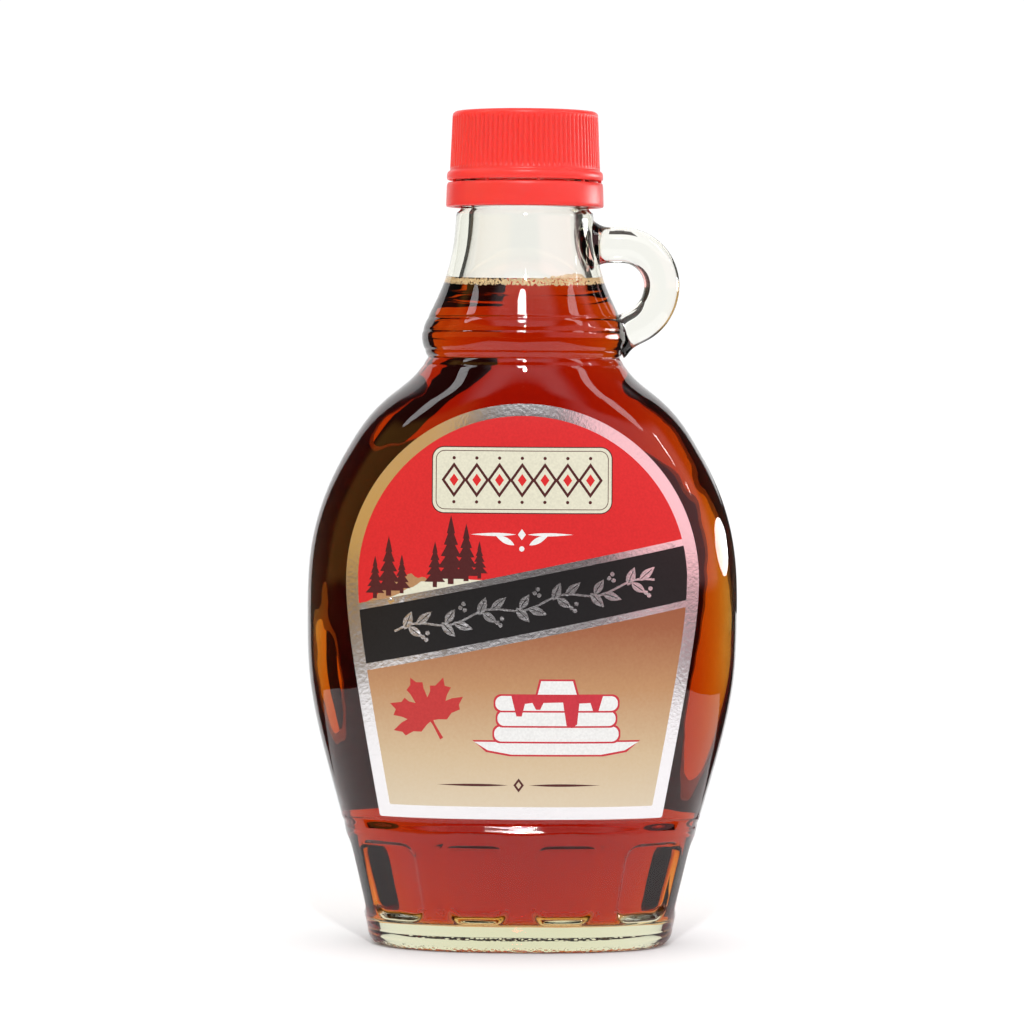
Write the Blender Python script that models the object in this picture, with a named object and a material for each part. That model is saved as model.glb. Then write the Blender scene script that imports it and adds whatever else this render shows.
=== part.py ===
# Loop-handled flask of syrup: a clear glass bottle with a fluted base and a finger loop,
# the syrup in it, a ribbed screw cap with its tamper ring, and a front and a back label.
# Metres, +Z up. The front label faces -Y, the loop is on the +X side, and the origin is
# on the ground under the middle of the foot.

import math

import bmesh
import bpy
import numpy as np
from mathutils import Matrix, Vector

MM = 0.001
GAP = 0.3 * MM  # between pieces that touch on the real object
WALL = 2.8 * MM  # glass thickness of the base

# Cross-sections are superellipses: half width (X), half depth (Y) and squareness, where
# 2 is an ellipse and more is boxier. Knots are (height, half width, half depth, squareness)
# in millimetres, and a smooth spline runs through them.
BULB_KNOTS = [
    (25.4, 35.0, 21.4, 2.45),
    (38.0, 38.5, 22.7, 2.42),
    (52.0, 41.3, 23.6, 2.40),
    (64.0, 41.8, 23.9, 2.40),
    (76.0, 41.3, 23.8, 2.40),
    (88.0, 38.2, 23.2, 2.36),
    (98.0, 33.1, 22.3, 2.25),
    (106.0, 26.6, 21.2, 2.10),
    (110.5, 21.2, 19.9, 2.03),
    (114.0, 18.7, 18.7, 2.00),
]
# The inside of the bulb, rounder than the outside, with more glass at its two sides.
HOLLOW_KNOTS = [
    (25.4, 32.2, 18.6, 2.45),
    (38.0, 33.8, 20.4, 2.20),
    (52.0, 34.9, 21.6, 2.08),
    (64.0, 35.0, 21.9, 2.05),
    (76.0, 34.5, 21.8, 2.05),
    (88.0, 31.9, 21.2, 2.05),
    (98.0, 27.7, 20.3, 2.04),
    (106.0, 22.4, 18.9, 2.02),
    (110.5, 18.0, 17.4, 2.01),
    (114.0, 15.7, 15.7, 2.00),
]
# The neck is round: (height, radius), from the waist over the ring to the cap.
NECK_KNOTS = [
    (114.0, 18.7),
    (118.0, 19.85),
    (122.0, 18.6),
    (128.0, 15.85),
    (134.0, 14.15),
    (142.0, 13.3),
]
# The inside of the neck, round too and smoother than the outside: (height, radius).
BORE_KNOTS = [
    (114.0, 15.7),
    (118.0, 15.9),
    (122.0, 14.9),
    (128.0, 12.6),
    (135.0, 10.7),
    (142.0, 9.9),
]

# The fluted base widens to a rim, and a small step runs from the rim in to the bulb. The
# step is deepest at the front and back and dies out at the sides.
RIM = 23.2 * MM
RIM_SIZE = (34.4 * MM, 22.3 * MM, 2.45)
BASE_FOOT = 3.2 * MM  # the heel rounds off below this
BASE_FOOT_SIZE = (29.8 * MM, 17.8 * MM, 2.40)
HEEL_INSET = 2.4 * MM
PUSH_UP = 1.2 * MM
BEARING_WIDTH = 3.2 * MM
FLOOR = 5.2 * MM
FLOOR_CORNER = 4.5 * MM
BULB_BOTTOM = BULB_KNOTS[0][0] * MM
WAIST = NECK_KNOTS[0][0] * MM

FINISH_RADIUS = 12.4 * MM  # the neck inside the cap
FINISH_START = 142.9 * MM
BEAD_RADIUS = 13.5 * MM
MOUTH_HEIGHT = 160.2 * MM
MOUTH_BORE = 9.8 * MM

FLUTES = 10
FLUTE_LOW = 6.4 * MM
FLUTE_HIGH = 20.8 * MM
FLUTE_DEPTH = 0.5 * MM  # at the flute's sides
FLUTE_SHARE = 0.70  # of the pitch, the rest is the pillar between two flutes

LOOP_CENTRE = (18.9 * MM, 128.2 * MM)  # x, z of the loop's round part
LOOP_REACH = 7.8 * MM
LOOP_DROP = 8.5 * MM
LOOP_END_ANGLE = math.radians(-65)
LOOP_THICKNESS = 6.9 * MM
LOOP_DEPTH = 6.0 * MM
LOOP_ROOT = 12.2 * MM  # x where the loop's upper run starts inside the neck wall

FILL_LEVEL = 128.0 * MM

CAP_TOP = 161.7 * MM
CAP_BOTTOM = 148.35 * MM
CAP_RIBS = 88
CAP_RIB_DEPTH = 0.3 * MM
RING_TOP = 147.9 * MM
RING_BOTTOM = 143.2 * MM
RING_RADIUS = 15.3 * MM
RING_BORE = BEAD_RADIUS + 1.2 * GAP

# A label's outline: radius of the round top, its top, its bottom, how fast its sides close
# towards the bottom, and how far its middle is off the bottle's, to +X. The back label is
# smaller and sits a little to one side.
FRONT_LABEL = (33.6 * MM, 105.3 * MM, 26.3 * MM, 0.185, 0.0)
BACK_LABEL = (28.9 * MM, 98.5 * MM, 27.5 * MM, 0.165, -0.5 * MM)
LABEL_TAPER_START = 1.9 * MM
LABEL_THICKNESS = 0.25 * MM

OUTER_SIDES = 56
INNER_SIDES = 40
ROUND_SIDES = 48


def spline(knots, height):
    """Natural cubic spline through rows of (height, value, ...), all in millimetres."""
    table = np.array(knots, float)
    x = table[:, 0]
    y = table[:, 1:]
    step = np.diff(x)[:, None]
    count = len(x)
    matrix = np.eye(count)
    right = np.zeros_like(y)
    slope = np.diff(y, axis=0) / step
    for i in range(1, count - 1):
        matrix[i, i - 1] = step[i - 1, 0]
        matrix[i, i] = 2 * (step[i - 1, 0] + step[i, 0])
        matrix[i, i + 1] = step[i, 0]
        right[i] = 6 * (slope[i] - slope[i - 1])
    bend = np.linalg.solve(matrix, right)
    i = int(np.clip(np.searchsorted(x, height) - 1, 0, count - 2))
    h = step[i, 0]
    a = (x[i + 1] - height) / h
    b = (height - x[i]) / h
    curved = ((a**3 - a) * bend[i] + (b**3 - b) * bend[i + 1]) * h * h / 6
    return a * y[i] + b * y[i + 1] + curved


def mix(low, high, share):
    return tuple(p + (q - p) * share for p, q in zip(low, high))


def outer_section(z):
    """Half width, half depth and squareness of the glass at height z."""
    if z < BASE_FOOT:
        share = math.sqrt(1 - (1 - z / BASE_FOOT) ** 2)
        inset = HEEL_INSET * (1 - share)
        return BASE_FOOT_SIZE[0] - inset, BASE_FOOT_SIZE[1] - inset, BASE_FOOT_SIZE[2]
    if z <= RIM:
        return mix(BASE_FOOT_SIZE, RIM_SIZE, (z - BASE_FOOT) / (RIM - BASE_FOOT))
    if z < BULB_BOTTOM:
        turn = (z - RIM) / (BULB_BOTTOM - RIM) * math.pi
        return mix(RIM_SIZE, outer_section(BULB_BOTTOM), (1 - math.cos(turn)) / 2)
    if z <= WAIST:
        width, depth, squareness = spline(BULB_KNOTS, z / MM)
        return width * MM, depth * MM, squareness
    radius = spline(NECK_KNOTS, z / MM)[0] * MM
    return radius, radius, 2.0


def inner_section(z):
    """The same for the inside of the glass, above the rounded corner of its floor."""
    if z < BULB_BOTTOM:
        width, depth, squareness = outer_section(z)
        return width - WALL, depth - WALL, squareness
    if z <= WAIST:
        width, depth, squareness = spline(HOLLOW_KNOTS, z / MM)
        return width * MM, depth * MM, squareness
    radius = spline(BORE_KNOTS, z / MM)[0] * MM
    return radius, radius, 2.0


def ring(half_width, half_depth, squareness, z, sides):
    """Points evenly spaced round a superellipse, from +X and anticlockwise from above."""
    turn = np.linspace(0, math.pi / 2, 181)
    x = np.cos(turn) ** (2 / squareness) * half_width
    y = np.sin(turn) ** (2 / squareness) * half_depth
    run = np.concatenate(([0], np.cumsum(np.hypot(np.diff(x), np.diff(y)))))
    at = np.linspace(0, run[-1], sides // 4 + 1)
    quarter = list(zip(np.interp(at, run, x), np.interp(at, run, y)))
    half = quarter + [(-px, py) for px, py in quarter[-2::-1]]
    whole = half + [(px, -py) for px, py in half[-2:0:-1]]
    return [Vector((px, py, z)) for px, py in whole]


def loft(rings, looped=False):
    """Walls between rings of equal count. The two ends get flat faces unless looped."""
    mesh = bmesh.new()
    loops = [[mesh.verts.new(point) for point in points] for points in rings]
    pairs = list(zip(loops, loops[1:]))
    if looped:
        pairs.append((loops[-1], loops[0]))
    for low, high in pairs:
        for k in range(len(low)):
            after = (k + 1) % len(low)
            mesh.faces.new((low[k], low[after], high[after], high[k]))
    if not looped:
        mesh.faces.new(list(reversed(loops[0])))
        mesh.faces.new(loops[-1])
    return mesh


def add_object(name, mesh, sharp_angle=40):
    """Turns a bmesh into an object in the scene, smooth but for its sharp edges."""
    data = bpy.data.meshes.new(name)
    mesh.to_mesh(data)
    mesh.free()
    data.shade_smooth()
    data.set_sharp_from_angle(angle=math.radians(sharp_angle))
    part = bpy.data.objects.new(name, data)
    bpy.context.scene.collection.objects.link(part)
    return part


def add_tool(name, mesh):
    """An object that only shapes another one."""
    tool = add_object(name, mesh)
    tool.hide_render = True
    tool.display_type = "WIRE"
    return tool


def combine(part, tool, operation):
    modifier = part.modifiers.new(tool.name, "BOOLEAN")
    modifier.operation = operation
    modifier.object = tool


def paint(part, colour, roughness, metallic=0.0, transmission=0.0, ior=1.5):
    material = bpy.data.materials.new(part.name)
    material.use_nodes = True
    shader = material.node_tree.nodes["Principled BSDF"]
    shader.inputs["Base Color"].default_value = (*colour, 1.0)
    shader.inputs["Roughness"].default_value = roughness
    shader.inputs["Metallic"].default_value = metallic
    shader.inputs["Transmission Weight"].default_value = transmission
    shader.inputs["IOR"].default_value = ior
    material.diffuse_color = (*colour, 1.0)
    part.data.materials.append(material)


def heights(low, high, count):
    return [low + (high - low) * k / count for k in range(count + 1)]


def bottle_outside():
    """The glass as if it were solid, from the push-up under the foot to the mouth."""
    foot_width, foot_depth, squareness = outer_section(0.0)
    inner_width = foot_width - BEARING_WIDTH
    inner_depth = foot_depth - BEARING_WIDTH
    rise = 2 * PUSH_UP
    rings = [
        ring(inner_width - rise, inner_depth - rise, squareness, PUSH_UP, OUTER_SIDES),
        ring(inner_width, inner_depth, squareness, 0.0, OUTER_SIDES),
    ]
    levels = [0.0, 0.7 * MM, BASE_FOOT, RIM, (RIM + BULB_BOTTOM) / 2, BULB_BOTTOM]
    levels += heights(BULB_BOTTOM, 94 * MM, 8)[1:]
    levels += [z * MM for z in (100, 105, 109, 112)]
    levels += [z * MM for z in (114, 116, 118, 120, 123, 127, 132, 142)]
    rings += [ring(*outer_section(z), z, OUTER_SIDES) for z in levels]
    collar = [
        (FINISH_START, FINISH_RADIUS),
        (144.0 * MM, FINISH_RADIUS),
        (144.8 * MM, BEAD_RADIUS),
        (146.4 * MM, BEAD_RADIUS),
        (147.4 * MM, FINISH_RADIUS),
        (MOUTH_HEIGHT - 0.8 * MM, FINISH_RADIUS),
        (MOUTH_HEIGHT, FINISH_RADIUS - 0.8 * MM),
    ]
    rings += [ring(radius, radius, 2.0, z, OUTER_SIDES) for z, radius in collar]
    return add_object("glass_bottle", loft(rings))


def inside_rings(clearance, top):
    """Rings up the inside of the glass, from the floor to the height given."""
    floor = FLOOR + clearance
    corner_top = FLOOR + FLOOR_CORNER
    rings = []
    for turn in (0, 30, 60, 90):
        z = floor + (corner_top - floor) * (1 - math.cos(math.radians(turn)))
        width, depth, squareness = inner_section(corner_top)
        inset = FLOOR_CORNER * (1 - math.sin(math.radians(turn))) + clearance
        rings.append(ring(width - inset, depth - inset, squareness, z, INNER_SIDES))
    steps = (23, 26, 36, 50, 64, 78, 88, 96, 102, 107, 111, 114, 120, 124)
    for z in [step * MM for step in steps] + [top]:
        width, depth, squareness = inner_section(z)
        rings.append(
            ring(width - clearance, depth - clearance, squareness, z, INNER_SIDES)
        )
    return rings


def cavity_tool():
    """Everything inside the glass, out through the mouth."""
    rings = inside_rings(0.0, FILL_LEVEL)
    for z in (135 * MM, 142 * MM, MOUTH_HEIGHT + 2 * MM):
        radius = inner_section(z)[0] if z < MOUTH_HEIGHT else MOUTH_BORE
        rings.append(ring(radius, radius, 2.0, z, INNER_SIDES))
    return add_tool("cavity_tool", loft(rings))


def surface_point(share, z):
    """A point of the outside, at a share of the way round from +X by length."""
    points = ring(*outer_section(z), z, 360)
    at = (share % 1.0) * 360
    low = int(at)
    return points[low % 360].lerp(points[(low + 1) % 360], at - low)


def surface_frame(share, z):
    """Point, outward normal, sideways and up the slope at that place on the outside."""
    point = surface_point(share, z)
    side = (surface_point(share + 0.002, z) - surface_point(share - 0.002, z)).normalized()
    up = surface_point(share, z + MM) - surface_point(share, z - MM)
    normal = side.cross(up).normalized()
    return point, normal, side, normal.cross(side)


def flutes_tool():
    """Flat-bottomed panels with round corners, cut all round the base."""
    whole = bmesh.new()
    middle = (FLUTE_LOW + FLUTE_HIGH) / 2
    half_height = (FLUTE_HIGH - FLUTE_LOW) / 2
    reach = 5 * MM
    for k in range(FLUTES):
        share = k / FLUTES
        point, normal, side, up = surface_frame(share, middle)
        half_share = 0.5 * FLUTE_SHARE / FLUTES
        low_edge = surface_point(share + half_share, FLUTE_LOW) - point
        high_edge = surface_point(share + half_share, FLUTE_HIGH) - point
        low_half = abs(low_edge.dot(side))
        high_half = abs(high_edge.dot(side))
        floor = min(low_edge.dot(normal), high_edge.dot(normal)) - FLUTE_DEPTH
        panel = bmesh.new()
        bmesh.ops.create_cube(panel, size=2.0)
        for vert in panel.verts:
            half = high_half if vert.co.y > 0 else low_half
            height = half_height if vert.co.y > 0 else -half_height
            vert.co = (vert.co.x * half, height, floor if vert.co.z < 0 else reach)
        upright = [
            edge
            for edge in panel.edges
            if abs(edge.verts[0].co.z - edge.verts[1].co.z) > MM
        ]
        bmesh.ops.bevel(
            panel, geom=upright, offset=2.6 * MM, segments=3, profile=0.5, affect="EDGES"
        )
        place = Matrix((side, up, normal)).transposed().to_4x4()
        place.translation = point
        panel.transform(place)
        data = bpy.data.meshes.new("panel")
        panel.to_mesh(data)
        panel.free()
        whole.from_mesh(data)
        bpy.data.meshes.remove(data)
    return add_tool("flutes_tool", whole)


def loop_route():
    """The loop handle's centre line: out of the neck, round, and back to the ring."""
    centre_x, centre_z = LOOP_CENTRE
    route = [(x * MM, centre_z + LOOP_REACH) for x in (LOOP_ROOT / MM, 14.0, 16.3)]
    turns = np.linspace(math.pi / 2, LOOP_END_ANGLE, 11)
    for turn in turns:
        height = LOOP_REACH if turn > 0 else LOOP_DROP
        route.append(
            (centre_x + LOOP_REACH * math.cos(turn), centre_z + height * math.sin(turn))
        )
    slope = LOOP_DROP * math.cos(LOOP_END_ANGLE) / (LOOP_REACH * -math.sin(LOOP_END_ANGLE))
    end_x, end_z = route[-1]
    for x in (19.6 * MM, 17.6 * MM):
        route.append((x, end_z - slope * (end_x - x)))
    return route


def loop_tool():
    """The loop handle as a bent bar, flared where it leaves the neck and the ring."""
    route = loop_route()
    curve = bpy.data.curves.new("loop_route", "CURVE")
    curve.dimensions = "3D"
    curve.bevel_depth = LOOP_THICKNESS / 2
    curve.bevel_resolution = 4
    curve.use_fill_caps = True
    line = curve.splines.new("POLY")
    line.points.add(len(route) - 1)
    flare = {0: 1.5, 1: 1.22, 2: 1.04, len(route) - 2: 1.06, len(route) - 1: 1.25}
    for k, (x, z) in enumerate(route):
        line.points[k].co = (x, 0.0, z, 1.0)
        line.points[k].radius = flare.get(k, 1.0)
    guide = bpy.data.objects.new("loop_route", curve)
    bpy.context.scene.collection.objects.link(guide)
    graph = bpy.context.evaluated_depsgraph_get()
    swept = bpy.data.meshes.new_from_object(guide.evaluated_get(graph))
    bpy.data.objects.remove(guide)
    mesh = bmesh.new()
    mesh.from_mesh(swept)
    bpy.data.meshes.remove(swept)
    bmesh.ops.remove_doubles(mesh, verts=mesh.verts, dist=0.001 * MM)
    flatten = LOOP_DEPTH / LOOP_THICKNESS
    bmesh.ops.scale(mesh, verts=mesh.verts, vec=(1.0, flatten, 1.0))
    bmesh.ops.recalc_face_normals(mesh, faces=mesh.faces)
    return add_tool("loop_tool", mesh)


def make_bottle():
    bottle = bottle_outside()
    combine(bottle, loop_tool(), "UNION")
    combine(bottle, flutes_tool(), "DIFFERENCE")
    combine(bottle, cavity_tool(), "DIFFERENCE")
    paint(bottle, (0.86, 0.90, 0.84), roughness=0.03, transmission=1.0, ior=1.52)
    return bottle


def make_syrup():
    syrup = add_object("syrup", loft(inside_rings(GAP, FILL_LEVEL)))
    paint(syrup, (0.33, 0.035, 0.006), roughness=0.05, transmission=0.6, ior=1.48)
    return syrup


def ribbed_ring(radius, groove, z):
    points = []
    for k in range(2 * CAP_RIBS):
        turn = math.pi * k / CAP_RIBS
        reach = radius - (groove if k % 2 else 0.0)
        points.append(Vector((reach * math.cos(turn), reach * math.sin(turn), z)))
    return points


def make_cap():
    outline = [
        (CAP_BOTTOM, 15.15 * MM, 0.0),
        (CAP_BOTTOM + 1.35 * MM, 15.1 * MM, 0.0),
        (CAP_BOTTOM + 1.75 * MM, 14.35 * MM, 0.0),
        (CAP_BOTTOM + 2.5 * MM, 14.6 * MM, CAP_RIB_DEPTH),
        (CAP_TOP - 1.1 * MM, 14.15 * MM, CAP_RIB_DEPTH),
        (CAP_TOP - 0.5 * MM, 13.8 * MM, 0.0),
        (CAP_TOP, 13.1 * MM, 0.0),
    ]
    cap = add_object("cap", loft([ribbed_ring(r, groove, z) for z, r, groove in outline]), 25)
    bore = FINISH_RADIUS + GAP
    rings = [
        ring(bore, bore, 2.0, z, ROUND_SIDES)
        for z in (CAP_BOTTOM - 2 * MM, MOUTH_HEIGHT + GAP)
    ]
    combine(cap, add_tool("cap_bore_tool", loft(rings)), "DIFFERENCE")
    paint(cap, (0.93, 0.045, 0.040), roughness=0.35)
    return cap


def make_tamper_ring():
    outline = [
        (RING_TOP, RING_BORE),
        (RING_BOTTOM, RING_BORE),
        (RING_BOTTOM, RING_RADIUS - 0.25 * MM),
        (RING_BOTTOM + 0.4 * MM, RING_RADIUS),
        (RING_TOP - 0.4 * MM, RING_RADIUS - 0.1 * MM),
        (RING_TOP, RING_RADIUS - 0.4 * MM),
    ]
    rings = [ring(radius, radius, 2.0, z, ROUND_SIDES) for z, radius in outline]
    tamper_ring = add_object("tamper_ring", loft(rings, looped=True))
    paint(tamper_ring, (0.93, 0.045, 0.040), roughness=0.30)
    return tamper_ring


def label_half_width(outline, z):
    """Half the label's width at height z: a round top on sides that close downwards."""
    radius, top, _, taper, _ = outline
    below = top - radius - z
    if below < 0:
        return math.sqrt(max(0.0, radius**2 - below**2))
    start = LABEL_TAPER_START
    return radius - (math.hypot(taper * below, start) - start)


def front_point(x, z, lift):
    """A point in front of the bulb, off the glass by lift along its normal."""

    def on_glass(px, pz):
        half_width, half_depth, squareness = outer_section(pz)
        share = abs(px / half_width) ** squareness
        return Vector((px, -half_depth * (1 - share) ** (1 / squareness), pz))

    step = 0.1 * MM
    along = on_glass(x + step, z) - on_glass(x - step, z)
    up = on_glass(x, z + step) - on_glass(x, z - step)
    return on_glass(x, z) + along.cross(up).normalized() * lift


def make_label(name, outline, facing):
    """A label that follows the bulb. Facing is 1 for the front and -1 for the back."""
    radius, top, bottom, _, shift = outline
    centre = top - radius
    rows = heights(bottom, centre, 8)
    rows += [centre + radius * math.sin(math.radians(a)) for a in range(12, 85, 12)]
    rows.append(top - 0.15 * MM)
    columns = 10
    mesh = bmesh.new()
    layers = []
    for lift in (GAP, GAP + LABEL_THICKNESS):
        layer = []
        for z in rows:
            half = label_half_width(outline, z)
            line = [
                front_point(shift + half * (2 * k / columns - 1), z, lift)
                for k in range(columns + 1)
            ]
            layer.append([mesh.verts.new((p.x, p.y * facing, p.z)) for p in line])
        layers.append(layer)
    inner, outer = layers
    for r in range(len(rows) - 1):
        for k in range(columns):
            mesh.faces.new((outer[r][k], outer[r][k + 1], outer[r + 1][k + 1], outer[r + 1][k]))
            mesh.faces.new((inner[r][k], inner[r + 1][k], inner[r + 1][k + 1], inner[r][k + 1]))
        mesh.faces.new((outer[r][0], outer[r + 1][0], inner[r + 1][0], inner[r][0]))
        mesh.faces.new((outer[r][-1], inner[r][-1], inner[r + 1][-1], outer[r + 1][-1]))
    for k in range(columns):
        mesh.faces.new((outer[0][k], inner[0][k], inner[0][k + 1], outer[0][k + 1]))
        mesh.faces.new((outer[-1][k], outer[-1][k + 1], inner[-1][k + 1], inner[-1][k]))
    if facing < 0:
        bmesh.ops.reverse_faces(mesh, faces=mesh.faces)
    return add_object(name, mesh)


def make_labels():
    front = make_label("front_label", FRONT_LABEL, 1)
    paint(front, (0.72, 0.035, 0.040), roughness=0.40)
    back = make_label("back_label", BACK_LABEL, -1)
    paint(back, (0.80, 0.74, 0.62), roughness=0.55)


for old in list(bpy.data.objects):
    bpy.data.objects.remove(old, do_unlink=True)

make_bottle()
make_syrup()
make_cap()
make_tamper_ring()
make_labels()
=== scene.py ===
# Maple syrup in a clear oval flask: pressed glass with a finger loop, a ribbed red cap with
# its tamper ring, and two paper labels. Metres, +Z up, the front label faces -Y.
import math

import bpy
import numpy as np
from mathutils import Matrix, Vector, geometry


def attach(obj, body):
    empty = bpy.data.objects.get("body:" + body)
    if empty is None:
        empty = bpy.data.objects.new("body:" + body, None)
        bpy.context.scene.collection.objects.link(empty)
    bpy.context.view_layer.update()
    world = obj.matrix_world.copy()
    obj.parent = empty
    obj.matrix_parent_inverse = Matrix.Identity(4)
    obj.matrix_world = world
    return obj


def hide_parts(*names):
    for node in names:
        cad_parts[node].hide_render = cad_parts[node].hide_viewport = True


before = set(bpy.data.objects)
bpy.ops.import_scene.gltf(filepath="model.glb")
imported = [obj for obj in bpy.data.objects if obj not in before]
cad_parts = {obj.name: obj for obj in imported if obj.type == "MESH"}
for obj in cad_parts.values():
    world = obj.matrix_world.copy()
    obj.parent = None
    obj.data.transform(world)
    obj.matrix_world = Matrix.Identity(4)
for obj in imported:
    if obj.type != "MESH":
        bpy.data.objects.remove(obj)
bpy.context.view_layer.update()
mm = 0.001


# Small helpers

def srgb(hexText):
    channels = [int(hexText[k:k + 2], 16) / 255 for k in (1, 3, 5)]
    return tuple(c / 12.92 if c <= 0.04045 else ((c + 0.055) / 1.055) ** 2.4 for c in channels)


def rgba(hexText):
    return (*srgb(hexText), 1.0)


def addNode(tree, kind, inputs=None, **settings):
    # an input gets a value, or the socket that feeds it
    node = tree.nodes.new(kind)
    for key, value in settings.items():
        setattr(node, key, value)
    for key, value in (inputs or {}).items():
        if isinstance(value, bpy.types.NodeSocket):
            tree.links.new(value, node.inputs[key])
        else:
            node.inputs[key].default_value = value
    return node


def newMaterial(name, values, absorption=None):
    # absorption is a colour and a density per metre
    material = bpy.data.materials.new(name)
    material.use_nodes = True
    tree = material.node_tree
    tree.nodes.clear()
    shader = addNode(tree, "ShaderNodeBsdfPrincipled", values)
    output = addNode(tree, "ShaderNodeOutputMaterial", {"Surface": shader.outputs[0]})
    if absorption:
        colour, density = absorption
        inside = addNode(tree, "ShaderNodeVolumeAbsorption", {"Color": colour, "Density": density})
        tree.links.new(inside.outputs[0], output.inputs["Volume"])
    return material, tree, shader


def setRamp(node, stops):
    elements = node.color_ramp.elements
    while len(elements) < len(stops):
        elements.new(0.5)
    for element, (position, colour) in zip(elements, stops):
        element.position = position
        element.color = colour


def makeObject(name, points, faces, materials=()):
    # points are in millimetres
    data = bpy.data.meshes.new(name)
    data.from_pydata((np.asarray(points, float) * mm).tolist(), [], faces)
    data.validate()
    data.shade_smooth()
    for material in materials:
        data.materials.append(material)
    piece = bpy.data.objects.new(name, data)
    bpy.context.scene.collection.objects.link(piece)
    return piece


def gridFaces(rows, columns):
    # a tube of quads between rows of equal count, facing out when rows climb anticlockwise
    faces = []
    for r in range(rows - 1):
        low = r * columns
        for k in range(columns):
            after = (k + 1) % columns
            faces.append((low + k, low + after, low + columns + after, low + columns + k))
    return faces


def closedTube(rows):
    # the points of rings of equal count, and the faces between them and over both ends
    points = np.concatenate(rows)
    sides = len(rows[0])
    faces = gridFaces(len(rows), sides)
    faces += [tuple(reversed(range(sides))), tuple(range(len(points) - sides, len(points)))]
    return points, faces


def arcPoints(centreX, centreZ, radius, degrees):
    turns = [math.radians(a) for a in degrees]
    return [(centreX + radius * math.cos(t), centreZ + radius * math.sin(t)) for t in turns]


def steps(low, high, spacing):
    # evenly spaced values after low, up to high
    count = max(1, round(abs(high - low) / spacing))
    return list(np.linspace(low, high, count + 1)[1:])


def smoothStep(low, high, value):
    t = np.clip((value - low) / (high - low), 0, 1)
    return t * t * (3 - 2 * t)


def spline(knots):
    # natural cubic spline through rows of (height, value, ...), returned as a function
    table = np.array(knots, float)
    x, y = table[:, 0], table[:, 1:]
    step = np.diff(x)
    slope = np.diff(y, axis=0) / step[:, None]
    matrix = np.eye(len(x))
    right = np.zeros_like(y)
    for i in range(1, len(x) - 1):
        matrix[i, i - 1:i + 2] = step[i - 1], 2 * (step[i - 1] + step[i]), step[i]
        right[i] = 6 * (slope[i] - slope[i - 1])
    bend = np.linalg.solve(matrix, right)

    def value(height):
        i = int(np.clip(np.searchsorted(x, height) - 1, 0, len(x) - 2))
        a, b = (x[i + 1] - height) / step[i], (height - x[i]) / step[i]
        curved = ((a**3 - a) * bend[i] + (b**3 - b) * bend[i + 1]) * step[i] ** 2 / 6
        return a * y[i] + b * y[i + 1] + curved

    return value


# Camera, light and ground

view = {
    "distance": 830.0,  # from the bottle's axis
    "height": 114.6,
    "aimX": -2.1,
    "aimZ": 84.0,
    "lens": 150.0,
    "sensor": 36.0,
    "roll": 0.38,  # degrees, the bottle's top leans right
}
roomLight = {
    # what reaches shiny and clear surfaces from each part of the room
    "front": (0.05, 0.04, 0.04),
    "left": (0.72, 0.40, 0.10),
    "right": (1.35, 0.72, 0.76),
    "back": (0.03, 0.03, 0.03),
    "ceiling": (1.0, 1.0, 1.05),
    "zenith": (0.75, 0.55, 0.52),
    "under": (0.03, 0.03, 0.03),  # past the table's edge
    # the same for matt surfaces, and what the camera sees behind the bottle
    "soft": (0.95, 0.95, 0.95),
    "softTop": (1.25, 1.25, 1.25),
    "seen": (1.05, 1.05, 1.05),
}
roomEdges = {
    # where each part starts and is full, along one axis of a direction of length 1
    "leftWall": ("X", -0.3, -0.55),
    "rightWall": ("X", 0.3, 0.55),
    "backWall": ("Y", 0.1, 0.3),
    "zenith": ("Z", 0.7, 0.85),
    "ceilingLeft": ("X", -0.4, -0.6),
    "ceilingRight": ("X", 0.4, 0.6),
    "ceiling": ("Z", 0.55, 0.62),
    "tableEdge": ("Z", 0.0, -0.03),
    "softRise": ("Z", 0.0, 1.0),
}
roomBlends = [
    # a light, what it is up to an edge and what it is past it. The room is dim in front of the
    # bottle and behind it, with a warm wall on the left, a pink one on the right and a lit ceiling
    ("walls", "front", "left", "leftWall"),
    ("walls", "walls", "right", "rightWall"),
    ("walls", "walls", "back", "backWall"),
    ("upper", "ceiling", "zenith", "zenith"),
    ("upper", "upper", "front", "ceilingLeft"),
    ("upper", "upper", "front", "ceilingRight"),
    ("clear", "walls", "upper", "ceiling"),
    ("clear", "clear", "under", "tableEdge"),
    ("soft", "soft", "softTop", "softRise"),
    ("all", "clear", "soft", "Is Diffuse Ray"),
    ("all", "all", "seen", "Is Camera Ray"),
]
sweep = {"side": 260.0, "front": 330.0, "back": 101.0, "drop": 0.05}  # ends under the cards
cards = {
    # left, right, bottom, top: a wall of white card with a dark gap on the right
    "sheets": [
        (-110.0, 10.5, -1.0, 230.0), (10.5, 84.0, -1.0, 47.0), (10.5, 19.0, 47.0, 58.5),
        (35.0, 84.0, 47.0, 58.5), (10.5, 84.0, 95.0, 230.0),
    ],
    "place": 100.0,
    "glow": 1.03,
}
lamps = {
    # place, width, height and watts: small bright things that the glass mirrors
    "ceilingSpot": ((20.0, -900.0, 820.0), 60.0, 60.0, 3.5),
    "neckSpot": ((-40.0, -600.0, 840.0), 130.0, 170.0, 1.6),
    "window": ((811.0, 444.0, 165.0), 520.0, 190.0, 2.8),
    "highStrip": ((800.0, -20.0, 560.0), 26.0, 120.0, 0.13),
    "lowStrip": ((860.0, 0.0, 425.0), 22.0, 60.0, 0.07),
    "leftTube": ((-600.0, -95.0, 760.0), 170.0, 420.0, 0.8),
    "rightTube": ((610.0, -140.0, 745.0), 150.0, 420.0, 0.6),
}
lampAim = (0.0, 0.0, 80.0)
bounces = 24  # enough for light to cross glass, syrup and glass again several times


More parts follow.
